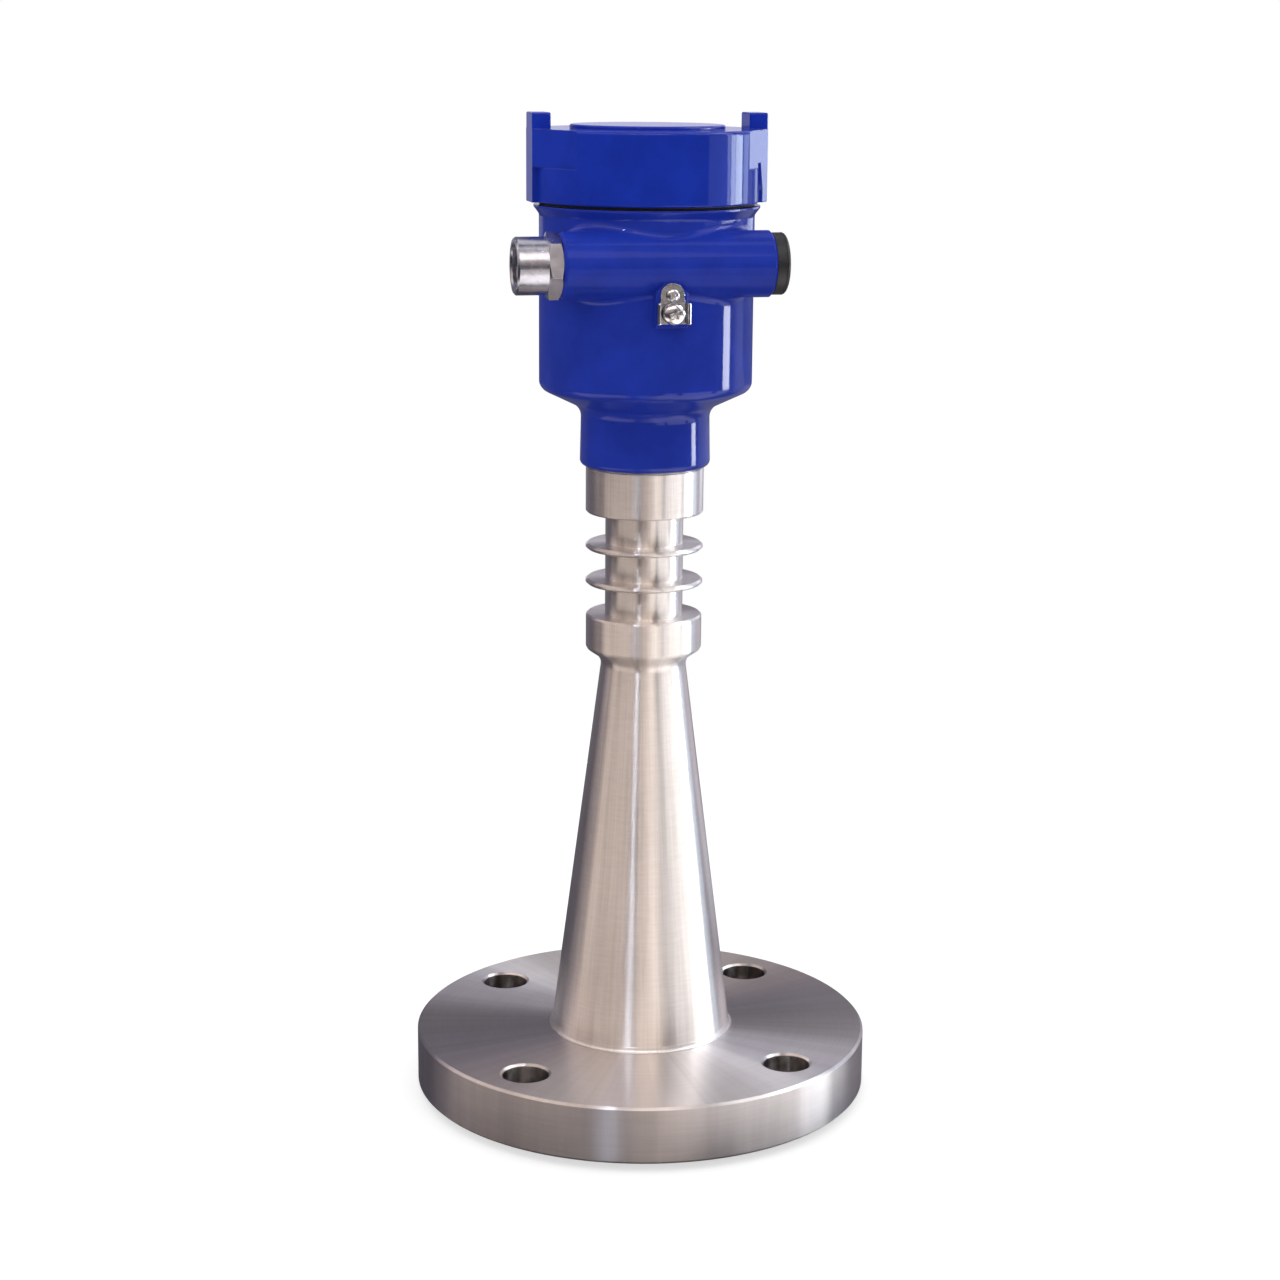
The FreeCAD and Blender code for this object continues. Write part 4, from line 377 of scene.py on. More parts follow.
@dataclass(frozen=True)
class PowderCoat:
    """Gloss powder coat over a casting, with bare turned metal where it is cut.

    Attributes:
        name: Name of the material.
        colour: Colour of the coat.
        bare_radius: Radius band of the bare metal.
        bare_height: Height band of the bare metal.
        thread_pitch: Pitch of the thread on the bare band.
        inner: Radius and height band of each bare bore.
        tube: Axis of the cross tube, whose coat is duller.
        tube_radius: Radius of the tube.
        gloss: Weight of the clear top of the coat.
        tube_gloss: The same on the tube.
        bare_colours: Darkest and brightest tone of the bare metal.
    """

    name: str
    colour: Colour
    bare_radius: Point
    bare_height: Point
    thread_pitch: float
    inner: tuple[tuple[float, Point], ...]
    tube: TurningLine | None = None
    tube_radius: float = 0.0
    gloss: float = 0.5
    tube_gloss: float = 0.14
    bare_colours: tuple[Colour, Colour] = ((0.58, 0.58, 0.59), (0.74, 0.74, 0.75))

    def build(self) -> bpy.types.Material:
        """Returns the finished material."""
        material, graph = new_material(self.name)
        radius, angle, height = TurningLine().cylindrical(graph)
        place = graph.place()
        corner = graph.rounded(PAINT_EDGE)
        edge_share = graph.edge(corner)
        peel = graph.total([graph.times(graph.noise(place, 260.0, 1.0), 0.75),
                            graph.times(graph.noise(place, 900.0, 2.0), 0.25)])
        pigment = graph.smooth(graph.noise(place, 60.0, 5.0, 0.6), 0.3, 0.7)
        colour = graph.shades(self.colour, pigment, 0.90, 1.10, 1.0)
        rubbed = tuple(part * 0.7 + 0.02 for part in self.colour)
        colour = graph.mix(graph.times(edge_share, 0.35), colour, rubbed)
        gloss: float | Socket = self.gloss
        if self.tube:
            away = graph.math("SUBTRACT", self.tube.cylindrical(graph)[0], self.tube_radius)
            gloss = graph.smooth(away, 0.2 * MM, 1.6 * MM, self.tube_gloss, self.gloss)
        paint = graph.node("BsdfPrincipled", {
            "Base Color": colour, "Roughness": 0.38, "Specular IOR Level": 0.05,
            "Coat Weight": gloss, "Coat Roughness": 0.035, "Coat IOR": 1.5,
            "Normal": graph.bump(peel, 0.020 * MM, 1.0, corner),
            "Coat Normal": graph.bump(peel, 0.016 * MM, 1.0, corner)})

        turn = graph.math("DIVIDE", angle, 2.0 * math.pi)
        phase = graph.math("ADD", graph.math("DIVIDE", height, self.thread_pitch), turn)
        thread = graph.math("PINGPONG", phase, 0.5)
        marks = graph.noise(graph.join(radius, 0.0, height), 1500.0, 2.0)
        metal = graph.node("BsdfPrincipled", {
            "Base Color": graph.mix(graph.noise(place, 90.0), *self.bare_colours),
            "Metallic": 1.0, "Roughness": 0.34,
            "Normal": graph.bump(marks, 0.01 * MM, 0.6,
                                 graph.bump(thread, self.thread_pitch * 0.9, 1.0, corner))})
        bare = graph.times(graph.band(radius, *self.bare_radius, 0.05 * MM),
                           graph.band(height, *self.bare_height, 0.05 * MM))
        for reach, span in self.inner:
            inside = graph.times(graph.smooth(radius, reach, reach + 0.1 * MM, 1.0, 0.0),
                                 graph.band(height, *span, 0.1 * MM))
            bare = graph.math("MAXIMUM", bare, inside)
        blend = graph.node("MixShader", {0: bare, 1: paint.outputs[0], 2: metal.outputs[0]})
        graph.finish(blend)
        return material


@dataclass(frozen=True)
class PlatedMetal:
    """Plated or plain small metal: smooth, faintly scratched, with edges lighter in colour, partly
    as wear and partly as a painted highlight.

    Attributes:
        name: Name of the material.
        colour: Reflected colour.
        roughness: Mean roughness.
        scratch: Strength of the fine scratches.
        grain: Scratches per metre.
        edge_wear_and_highlight: Colour of the edges, partly wear and partly a painted highlight.
    """

    name: str
    colour: Colour
    roughness: float
    scratch: float = 0.3
    grain: float = 700.0
    edge_wear_and_highlight: Colour = (0.85, 0.85, 0.84)

    def build(self) -> bpy.types.Material:
        """Returns the finished material."""
        material, graph = new_material(self.name)
        place = graph.place()
        corner = graph.rounded(PLATED_EDGE)
        edge_share = graph.edge(corner)
        film = graph.noise(place, 180.0, 5.0, 0.6)
        scratches = graph.noise(place, self.grain, 3.0, 0.7)
        colour = graph.shades(self.colour, graph.smooth(film, 0.3, 0.7), 0.82, 1.08, 0.95)
        # Edges are lightened in colour: partly wear, partly a painted highlight.
        colour = graph.mix(graph.times(edge_share, 0.5), colour, self.edge_wear_and_highlight)
        gloss = graph.math("ADD", graph.times(film, 0.16), self.roughness - 0.08)
        shader = graph.node("BsdfPrincipled", {
            "Base Color": colour, "Metallic": 1.0, "Roughness": gloss,
            "Normal": graph.bump(scratches, 0.01 * MM, self.scratch, corner)})
        graph.finish(shader)
        return material


@dataclass(frozen=True)
class Moulding:
    """Moulded plastic, rubber or ceramic with a fine grain.

    Attributes:
        name: Name of the material.
        colour: Colour of the mass.
        roughness: Mean roughness.
        grain: Grains per metre.
        grain_height: Height of the grain.
        mottle: Strength of the uneven tone.
        scatter: Share of light that goes through the mass.
        sheen: Dull sheen of rubber.
    """

    name: str
    colour: Colour
    roughness: float
    grain: float = 1400.0
    grain_height: float = 0.02 * MM
    mottle: float = 0.12
    scatter: float = 0.0
    sheen: float = 0.0

    def build(self) -> bpy.types.Material:
        """Returns the finished material."""
        material, graph = new_material(self.name)
        place = graph.place()
        corner = graph.rounded(MOULDED_EDGE)
        edge_share = graph.edge(corner)
        tone = graph.noise(place, 110.0, 5.0, 0.6)
        grain = graph.noise(place, self.grain, 2.0, 0.6)
        colour = graph.shades(self.colour, graph.smooth(tone, 0.3, 0.7),
                              1.0 - self.mottle, 1.0 + self.mottle, 0.97)
        chalky = tuple(min(part * 1.3 + 0.02, 0.97) for part in self.colour)
        colour = graph.mix(graph.times(edge_share, 0.5), colour, chalky)
        gloss = graph.math("ADD", graph.times(tone, 0.12), self.roughness - 0.06)
        shader = graph.node("BsdfPrincipled", {
            "Base Color": colour, "Roughness": gloss, "Sheen Weight": self.sheen,
            "Subsurface Weight": self.scatter, "Subsurface Scale": 0.002,
            "Normal": graph.bump(grain, self.grain_height, 0.7, corner)})
        graph.finish(shader)
        return material


@dataclass(frozen=True)
class SolderMask:
    """Green circuit board with copper tracks under the mask.

    Attributes:
        name: Name of the material.
        mask: Colour between the tracks.
        track: Colour over the tracks.
        track_pitch: Spacing of the tracks.
    """

    name: str
    mask: Colour = (0.012, 0.11, 0.045)
    track: Colour = (0.04, 0.24, 0.09)
    track_pitch: float = 1.3 * MM

    def build(self) -> bpy.types.Material:
        """Returns the finished material."""
        material, graph = new_material(self.name)
        place = graph.place()
        x, y, _ = graph.split(place)
        pitch = self.track_pitch
        bend = graph.times(graph.noise(place, 60.0, 0.0), 6.0 * MM)
        lane = graph.math("PINGPONG", graph.math("ADD", x, bend), pitch / 2.0)
        cross = graph.math("PINGPONG", graph.math("ADD", y, bend), pitch * 2.0)
        tracks = graph.math("MAXIMUM", *(graph.smooth(way, 0.16 * pitch, 0.22 * pitch, 1.0, 0.0)
                                         for way in (lane, cross)))
        shader = graph.node("BsdfPrincipled", {
            "Base Color": graph.mix(tracks, self.mask, self.track), "Roughness": 0.25,
            "Coat Weight": 0.6, "Coat Roughness": 0.1,
            "Normal": graph.bump(tracks, 0.03 * MM, 0.8, graph.rounded(0.1 * MM))})
        graph.finish(shader)
        return material


Finish = TurnedSteel | PowderCoat | PlatedMetal | Moulding | SolderMask


def tube_axis() -> TurningLine:
    """The axis of the cross tube, through the middle of the blind plug."""
    low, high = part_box("blind_plug")
    return TurningLine(Axis.X, (0.0, (low[1] + high[1]) / 2.0, (low[2] + high[2]) / 2.0))


def make_finishes() -> dict[Slot, bpy.types.Material]:
    """Builds one material for each slot of the record."""
    lid_blue: Colour = (0.0085, 0.035, 0.43)
    housing_blue: Colour = (0.0150, 0.040, 0.41)
    recipes: dict[Slot, Finish] = {
        Slot.LENS: Moulding("lens_polymer", (0.80, 0.80, 0.77), 0.34, scatter=0.15, mottle=0.04),
        Slot.FLANGE: TurnedSteel("flange_turned", (0.73, 0.695, 0.685), 0.33, 1.0,
                                 0.0018 * MM, 0.5 * MM, 0.05, 3.0 * MM, (64.0 * MM, 88.0 * MM)),
        Slot.HORN: TurnedSteel("horn_turned", (0.80, 0.76, 0.73), 0.32, stain=0.055),
        Slot.WELD: TurnedSteel("weld_dressed", (0.78, 0.75, 0.73), 0.40, 0.60,
                               0.002 * MM, 0.5 * MM),
        Slot.NECK: TurnedSteel("neck_turned", (0.77, 0.735, 0.71), 0.29),
        Slot.WINDOW: Moulding("window_ceramic", (0.84, 0.82, 0.76), 0.22, mottle=0.03),
        Slot.BRASS: PlatedMetal("waveguide_brass", (0.72, 0.52, 0.24), 0.24),
        Slot.RUBBER: Moulding("seal_rubber", (0.018, 0.018, 0.019), 0.55, sheen=0.2),
        Slot.SPRING: PlatedMetal("spring_steel", (0.36, 0.36, 0.37), 0.34),
        Slot.PAINT: PowderCoat("housing_powder_coat", housing_blue, (40.9 * MM, 41.4 * MM),
                               (373.1 * MM, 393.4 * MM), 1.8 * MM,
                               ((24.0 * MM, (262.0 * MM, 303.0 * MM)),
                                (39.2 * MM, (303.0 * MM, 393.4 * MM))),
                               tube_axis(), TUBE_RADIUS),
        Slot.LID_PAINT: PowderCoat("lid_powder_coat", lid_blue, (41.0 * MM, 42.0 * MM),
                                   (376.4 * MM, 396.9 * MM), 1.8 * MM,
                                   ((42.0 * MM, (373.0 * MM, 397.6 * MM)),)),
        Slot.CHROME: PlatedMetal("nickel_plate", (0.50, 0.515, 0.59), 0.25, 0.10),
        Slot.PLUG: Moulding("plug_plastic", (0.010, 0.010, 0.012), 0.50, mottle=0.06),
        Slot.PLATED: PlatedMetal("zinc_plate", (0.70, 0.70, 0.71), 0.20, 0.10, 300.0),
        Slot.DARK: PlatedMetal("blackened_steel", (0.10, 0.10, 0.10), 0.4,
                               edge_wear_and_highlight=(0.3, 0.3, 0.3)),
        Slot.POT: Moulding("pot_plastic", (0.035, 0.035, 0.038), 0.5),
        Slot.DECK: Moulding("deck_plastic", (0.07, 0.07, 0.078), 0.48, 900.0, 0.04 * MM),
        Slot.BOARD: SolderMask("board_mask"),
        Slot.SPACER: PlatedMetal("spacer_brass", (0.70, 0.54, 0.28), 0.28),
        Slot.MODULE: PlatedMetal("module_can", (0.68, 0.69, 0.70), 0.30, 0.5),
        Slot.BLOCK: Moulding("block_plastic", (0.05, 0.24, 0.09), 0.4),
    }
    finishes = {slot: recipe.build() for slot, recipe in recipes.items()}
    LOG.info("built %d finishes", len(finishes))
    return finishes


def finish_mesh(name: str, shape: bmesh.types.BMesh, material: bpy.types.Material,
                sharp_degrees: float = SHARP) -> bpy.types.Object:
    """Turns a bmesh into a shaded object.

    Args:
        name: Name of the piece.
        shape: The mesh, which is freed here.
        material: Its finish.
        sharp_degrees: Edges that bend more than this stay sharp.

    Returns:
        The linked object, at the frame's origin.
    """
    bmesh.ops.remove_doubles(shape, verts=shape.verts, dist=1e-7)
    bmesh.ops.recalc_face_normals(shape, faces=shape.faces)
    limit = math.radians(sharp_degrees)
    for face in shape.faces:
        face.smooth = True
    for edge in shape.edges:
        if len(edge.link_faces) == 2:
            edge.smooth = edge.calc_face_angle(0.0) < limit
    mesh = bpy.data.meshes.new(name)
    shape.to_mesh(mesh)
    shape.free()
    mesh.materials.append(material)
    piece = bpy.data.objects.new(name, mesh)
    bpy.context.scene.collection.objects.link(piece)
    return piece


def add_grid(shape: bmesh.types.BMesh, rows: Sequence[Sequence[Vector]], closed: bool) -> None:
    """Joins rows of points with faces.

    Args:
        shape: The mesh that gets the faces.
        rows: Equal rows of points.
        closed: Whether the last row also joins the first.
    """
    verts = [[shape.verts.new(point) for point in row] for row in rows]
    pairs = list(zip(verts, verts[1:]))
    if closed:
        pairs.append((verts[-1], verts[0]))
    for near, far in pairs:
        for place in range(len(near) - 1):
            corners = [near[place], near[place + 1], far[place + 1], far[place]]
            if len({corner.co.to_tuple(7) for corner in corners}) >= 3:
                shape.faces.new(corners)


@dataclass(frozen=True)
class Turning:
    """A piece of revolution about an axis of the frame.

    Attributes:
        line: The axis.
        segments: Steps round the axis.
    """

    line: TurningLine
    segments: int

    def point(self, radius: float, angle: float, height: float) -> Vector:
        """Places a point of the turned shape.

        Args:
            radius: Its distance from the axis.
            angle: Its angle round the axis, in radians.
            height: Its place along the axis.

        Returns:
            The point in the frame.
        """
        across, aside = radius * math.cos(angle), radius * math.sin(angle)
        local = {Axis.Z: (across, aside, height), Axis.X: (height, across, aside)}[self.line.axis]
        return Vector(local) + Vector(self.line.through)

    def revolve(self, shape: bmesh.types.BMesh, profile: Sequence[Point],
                shift: Callable[[float, int], float] | None = None) -> None:
        """Turns a profile about the axis.

        Args:
            shape: The mesh that gets the faces.
            profile: Radius and height of each point.
            shift: Extra radius for an angle and a profile point.
        """
        rows = []
        for step in range(self.segments):
            angle = 2.0 * math.pi * step / self.segments
            row = []
            for place, (radius, height) in enumerate(profile):
                extra = shift(angle, place) if shift else 0.0
                row.append(self.point(radius + extra, angle, height))
            rows.append(row)
        add_grid(shape, rows, closed=True)


@dataclass(frozen=True)
class Thread:
    """Thread ridge in a round mouth.

    Attributes:
        root: Radius of its root.
        crest: Radius of its crest, less than the root's.
        pitch: Rise of one turn.
        lead_in: Plain bore before it.
        length: Depth that it fills.
        section: Where the crest begins and ends and the ridge ends, in pitches.
        run_out: One over the share of its length that each end fades over.
    """

    root: float
    crest: float
    pitch: float
    lead_in: float
    length: float
    section: tuple[float, float, float] = (0.42, 0.54, 0.96)
    run_out: float = 6.0

    def build(self, shape: bmesh.types.BMesh, turning: Turning, mouth: float) -> None:
        """Adds the ridge, run out to nothing at both ends.

        Args:
            shape: The mesh that gets the faces.
            turning: Its axis and the steps round it.
            mouth: Place of the mouth along the axis.
        """
        turns = self.length / self.pitch - 1.0
        count = int(turns * turning.segments)
        foot = self.root + SINK
        rows = []
        for step in range(count + 1):
            angle = 2.0 * math.pi * step / turning.segments
            base = mouth + self.lead_in + self.pitch * angle / (2.0 * math.pi)
            fade = min(1.0, self.run_out * step / count, self.run_out * (count - step) / count)
            crest = self.root + (self.crest - self.root) * fade
            profile = zip((foot, crest, crest, foot), (0.0, *self.section))
            rows.append([turning.point(radius, angle, base + share * self.pitch)
                         for radius, share in profile])
        add_grid(shape, rows, closed=False)


def arc(centre: Point, radius: float, start: float, end: float, steps: int) -> list[Point]:
    """Points on an arc of a profile, angles in degrees."""
    angles = [math.radians(start + (end - start) * step / steps) for step in range(steps + 1)]
    return [(centre[0] + radius * math.cos(angle), centre[1] + radius * math.sin(angle))
            for angle in angles]


class Assembly:
    """A group of pieces that share the frame and the finishes."""

    def __init__(self, frame: dict, finishes: dict[Slot, bpy.types.Material]) -> None:
        """Keeps the frame and finishes that the pieces need."""
        self.nodes = frame["nodes"]
        self.finishes = finishes

    def dress(self, slot: Slot, *names: str) -> None:
        """Gives CAD nodes the finish of a slot.

        Args:
            slot: The slot.
            *names: The nodes.
        """
        for name in names:
            materials = self.nodes[name].data.materials
            materials.clear()
            materials.append(self.finishes[slot])
            LOG.info("dressed %s in %s", name, slot.value)

    def add(self, name: str, shape: bmesh.types.BMesh, body: Body, slot: Slot,
            stands_for: str | None = None, sharp_degrees: float = SHARP) -> None:
        """Makes a new piece and puts it on a body.

        Args:
            name: Name of the piece.
            shape: Its mesh, which is freed here.
            body: The body that it rides on.
            slot: The slot of its finish.
            stands_for: The node that it replaces, if any.
            sharp_degrees: Edges that bend more than this stay sharp.
        """
        piece = finish_mesh(name, shape, self.finishes[slot], sharp_degrees)
        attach(piece, body.value)
        if stands_for:
            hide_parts(stands_for)
        LOG.info("added %s on %s, %d faces", piece.name, body.value, len(piece.data.polygons))


@dataclass(frozen=True)
class WeldSize:
    """Dressed fillet round the foot of the cone.

    Attributes:
        inset: From the weld's outside to the cone's foot.
        lean: Slope of the cone's side.
        root: How deep the fillet goes into the cone.
        lift: Height of its outer lip over the deck.
        reach: Width of the fillet on the deck.
        rise: Its height up the cone.
        ripple: Height of the weld ripples.
        ripples: Their number round the foot.
        steps: Points on the hollow curve.
        segments: Steps round the axis.
    """

    inset: float = 3.2 * MM
    lean: float = 0.1286
    root: float = 1.0 * MM
    lift: float = 0.03 * MM
    reach: float = 1.1 * MM
    rise: float = 2.2 * MM
    ripple: float = 0.015 * MM
    ripples: int = 170
    steps: int = 14
    segments: int = 720


class ProcessFitting(Assembly):
    """Flange, horn, weld and finned neck."""

    weld = WeldSize()

    def build(self) -> None:
        """Dresses the turned pieces and lays the fillet."""
        self.dress(Slot.LENS, "antenna_lens")
        self.dress(Slot.FLANGE, "flange")
        self.dress(Slot.HORN, "horn")
        self.dress(Slot.NECK, "cooling_neck")
        self.dress(Slot.WINDOW, "feed_window")
        self.dress(Slot.BRASS, "waveguide")
        self.dress(Slot.RUBBER, "neck_seal", "swivel_seal")
        self.dress(Slot.SPRING, "retaining_clip")
        self.lay_fillet()

    def lay_fillet(self) -> None:
        """A hollow fillet with faint weld ripples, from the deck up the cone."""
        low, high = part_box("foot_weld")
        size = self.weld
        steps = size.steps
        deck = low[2]
        foot = high[0] - size.inset
        profile: list[Point] = [(foot - size.root, deck + SINK)]
        for step in range(steps + 1):
            share = step / steps
            hollow = (1.0 - share) ** 2
            radius = foot - size.lean * size.rise * share + size.reach * hollow + SINK
            profile.append((radius, deck + size.lift + size.rise * share ** 2))
        profile.append((foot - size.root - size.lean * size.rise, deck + size.rise))

        def ripple(angle: float, place: int) -> float:
            """Radius added by the ripples at one point."""
            wave = math.sin(size.ripples * angle) * math.sin(math.pi * place / steps)
            return size.ripple * wave if 0 < place < steps + 1 else 0.0

        shape = bmesh.new()
        Turning(TurningLine(), size.segments).revolve(shape, profile, ripple)
        self.add("foot_fillet", shape, Body.FITTING, Slot.WELD, "foot_weld")


class FieldHousing(Assembly):
    """Blue housing with its electronics and terminals."""

    def build(self) -> None:
        """Dresses the housing and everything inside it."""
        self.dress(Slot.PAINT, "housing")
        self.dress(Slot.DARK, "swivel_lock_screw")
        self.dress(Slot.POT, "electronics_pot")
        self.dress(Slot.BOARD, "main_board", "upper_board")
        self.dress(Slot.SPACER, "board_spacers")
        self.dress(Slot.MODULE, "microwave_module")
        self.dress(Slot.DECK, "terminal_deck")
        self.dress(Slot.BLOCK, "terminal_block")
        self.dress(Slot.PLATED, "terminal_screws", "deck_screws", "inner_earth_screw")


class ScrewedLid(Assembly):
    """Lid with its lugs, and the seal under it."""

    def build(self) -> None:
        """Dresses the lid and its seal."""
        self.dress(Slot.LID_PAINT, "lid")
        self.dress(Slot.RUBBER, "lid_seal")


@dataclass(frozen=True)
class CapSize:
    """Moulded cap of the blind plug.

    Attributes:
        cover: How far the cap stands proud of the plug.
        edge: Radius of its round edge.
        groove: Depth of the groove at its foot.
        disc: Radius of the sunk disc, as a share of the cap's.
        disc_edge: Radius of the disc's edge.
        disc_sink: Depth of the disc.
    """

    cover: float = 0.06 * MM
    edge: float = 1.5 * MM
    groove: float = 0.5 * MM
    disc: float = 0.55
    disc_edge: float = 0.6 * MM
    disc_sink: float = 0.45 * MM


class CableEntry(Assembly):
    """Cable adapter on one end of the cross tube and blind plug on the other."""

    thread = Thread(8.2 * MM, 7.45 * MM, 1.5 * MM, 0.9 * MM, 12.6 * MM)
    cap = CapSize()

    def build(self) -> None:
        """Dresses both fittings, cuts the thread and caps the plug."""
        self.dress(Slot.CHROME, "cable_adapter")
        self.dress(Slot.PLUG, "blind_plug")
        self.cut_thread()
        self.cap_plug()

    def cut_thread(self) -> None:
        """The female thread in the open mouth of the adapter."""
        low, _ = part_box("cable_adapter")
        shape = bmesh.new()
        self.thread.build(shape, Turning(tube_axis(), 72), low[0])
        self.add("adapter_thread", shape, Body.HEAD, Slot.CHROME, sharp_degrees=20.0)

    def cap_plug(self) -> None:
        """Moulded cap of the plug: grooved skirt, round edge and sunk disc."""
        low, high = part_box("blind_plug")
        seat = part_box("housing")[1][0]
        size = self.cap
        radius = (high[2] - low[2]) / 2.0 + size.cover
        crown = high[0] + size.cover
        profile: list[Point] = [
            (radius - 1.2 * MM, seat + SINK),
            (radius - size.groove, seat + 0.05 * MM),
            (radius - size.groove, seat + 0.45 * MM),
            (radius - 0.1 * MM, seat + 0.70 * MM),
        ]
        profile += arc((radius - size.edge, crown - size.edge), size.edge, 0.0, 90.0, 10)
        profile += arc((radius * size.disc, crown + 0.2 * MM), size.disc_edge, 340.0, 250.0, 6)
        profile.append((0.0, crown - size.disc_sink))

        shape = bmesh.new()
        Turning(tube_axis(), 256).revolve(shape, profile)
        self.add("plug_cap", shape, Body.HEAD, Slot.PLUG)


@dataclass(frozen=True)
class DomedHead:
    """Round head with a cross recess.

    Attributes:
        radius: Radius of the head.
        skirt: Straight part at its foot.
        crown: Height of the dome over the skirt.
        recess: Half length of the cross arms.
        arm: Half width of the arms.
        depth: Depth of the recess.
        fullness: How square the dome is; 2 is a plain ellipse.
        soft: Width of the recess's soft edge, in arms.
    """

    radius: float
    skirt: float
    crown: float
    recess: float
    arm: float
    depth: float
    fullness: float = 2.6
    soft: float = 0.3

    def height(self, across: float, along: float) -> float:
        """Finds the height of the surface over the seat.

        Args:
            across: Place along one arm of the recess.
            along: Place along the other arm.

        Returns:
            The height there.
        """
        share = min(math.hypot(across, along) / self.radius, 1.0)
        dome = self.skirt + self.crown * math.sqrt(max(0.0, 1.0 - share ** self.fullness))
        soft = self.soft * self.arm
        cut = 0.0
        for long_way, short_way in ((across, along), (along, across)):
            inside = min((self.recess - abs(long_way)) / soft, (self.arm - abs(short_way)) / soft)
            cut = max(cut, min(1.0, max(0.0, 0.5 + inside / 2.0)))
        return dome - self.depth * cut

    def build(self, shape: bmesh.types.BMesh, seat: Vector, turn: float) -> None:
        """Adds the head, which faces -Y.

        Args:
            shape: The mesh that gets the faces.
            seat: Middle of the head's foot.
            turn: Angle of the recess, in degrees.
        """
        rings, steps = 44, 144
        spin = math.radians(turn)
        rows = []
        for step in range(steps):
            angle = 2.0 * math.pi * step / steps
            cosine, sine = math.cos(angle), math.sin(angle)
            row = [seat + Vector((self.radius * cosine, 0.0, self.radius * sine))]
            for ring in range(rings, -1, -1):
                reach = self.radius * math.sin(0.5 * math.pi * ring / rings)
                across, along = reach * cosine, reach * sine
                local = (across * math.cos(spin) + along * math.sin(spin),
                         along * math.cos(spin) - across * math.sin(spin))
                row.append(seat + Vector((across, -self.height(*local), along)))
            rows.append(row)
        add_grid(shape, rows, closed=True)


@dataclass(frozen=True)
class EarSize:
    """Rolled edges of the clamp's ears.

    Attributes:
        radius: Radius of the roll.
        thick: Thickness of an ear.
        depth: Depth of the roll's axis behind the ear's front.
        taper: Length of the rounding at each end.
        narrow: Share of the radius at the very ends.
        span: Angles where the roll begins and ends, in degrees.
        steps: Steps round the roll.
    """

    radius: float = 0.72 * MM
    thick: float = 1.2 * MM
    depth: float = 0.30 * MM
    taper: float = 0.25 * MM
    narrow: float = 0.7
    span: Point = (-25.0, 205.0)
    steps: int = 14


class EarthTerminal(Assembly):
    """Outside earth terminal under the cross tube."""

    screw_head = DomedHead(4.35 * MM, 1.4 * MM, 2.3 * MM, 2.0 * MM, 0.55 * MM, 1.2 * MM)
    pin_head = DomedHead(2.55 * MM, 0.8 * MM, 0.9 * MM, 1.1 * MM, 0.36 * MM, 0.6 * MM)
    ear = EarSize()

    def build(self) -> None:
        """Dresses the small plated pieces, domes their heads and rolls the ears."""
        self.dress(Slot.PLATED, "earth_plate", "earth_pin", "earth_clamp", "earth_screw")
        self.dress(Slot.SPRING, "earth_washer")
        self.dome("earth_screw", "earth_washer", self.screw_head, 20.0)
        self.dome("earth_pin", "earth_plate", self.pin_head, 50.0)
        self.roll_ears()

    def dome(self, name: str, under: str, head: DomedHead, turn: float) -> None:
        """Puts a domed head over the plain head of a screw or pin.

        Args:
            name: The node with the plain head.
            under: The node that the head bears on.
            head: Shape of the dome.
            turn: Angle of its recess, in degrees.
        """
        low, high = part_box(name)
        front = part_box(under)[0][1]
        seat = Vector(((low[0] + high[0]) / 2.0, front - SINK, (low[2] + high[2]) / 2.0))
        shape = bmesh.new()
        head.build(shape, seat, turn)
        self.add(name + "_dome", shape, Body.HEAD, Slot.PLATED, sharp_degrees=50.0)

    def roll_ears(self) -> None:
        """Rounds the front edge of both ears of the clamp."""
        low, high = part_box("earth_clamp")
        size = self.ear
        foot, top = low[2] - SINK, high[2] + SINK
        sections = ((foot, 0.0), (foot, size.narrow), (low[2] + size.taper, 1.0),
                    (high[2] - size.taper, 1.0), (top, size.narrow), (top, 0.0))
        shape = bmesh.new()
        for middle in (low[0] + size.thick / 2.0, high[0] - size.thick / 2.0):
            rows = []
            for height, share in sections:
                roll = arc((0.0, 0.0), share * size.radius, *size.span, size.steps)
                rows.append([Vector((middle + across, low[1] + size.depth - proud, height))
                             for across, proud in roll])
            add_grid(shape, rows, closed=False)
        self.add("clamp_ear_rolls", shape, Body.HEAD, Slot.PLATED)


PHOTO_TURN = -12.0
STUDIO_DARK = (0.068, 0.063, 0.080)
# Painted shade: the floor's colour as reflections see it, dark as if in the object's shadow.
FLOOR_SHADE_IN_REFLECTIONS = (0.09, 0.085, 0.105)
FLOOR_GLOW = 0.62
FLAG_WEAVE = ((0.128, 0.118, 0.141), (0.182, 0.171, 0.196))
FLAG_LIT = (0.62, 0.59, 0.65)


@dataclass(frozen=True)
class Patch:
    """A soft-edged sector of light about the upright axis, as metal shows it.

    Attributes:
        azimuth: Its middle in degrees, 0 on the camera's side, growing
            anticlockwise seen from above.
        half: Half its width in degrees.
        soft: Width of its soft edge in degrees.
        light: Its radiance.
    """

    azimuth: float
    half: float
    soft: float
    light: Colour

    def sector(self, graph: Graph, x: Socket, y: Socket) -> Socket:
        """Masks the sector.

        Args:
            graph: The tree that gets the nodes.
            x: X of a point or direction.
            y: Y of it.

        Returns:
            1 inside the sector, easing to 0 outside it.
        """
        turned = graph.math("ARCTAN2", x, graph.times(y, -1.0))
        middle = math.radians(self.azimuth + PHOTO_TURN)
        away = graph.math("WRAP", graph.math("SUBTRACT", turned, middle), math.pi, -math.pi)
        degrees = graph.math("DEGREES", graph.math("ABSOLUTE", away))
        return graph.smooth(degrees, self.half, self.half + self.soft, 1.0, 0.0)


@dataclass(frozen=True)
class Panel(Patch):
    """A patch at a great distance.

    Attributes:
        low: Its lower edge in degrees above the horizon.
        high: Its upper edge in degrees above the horizon.
    """

    low: float
    high: float


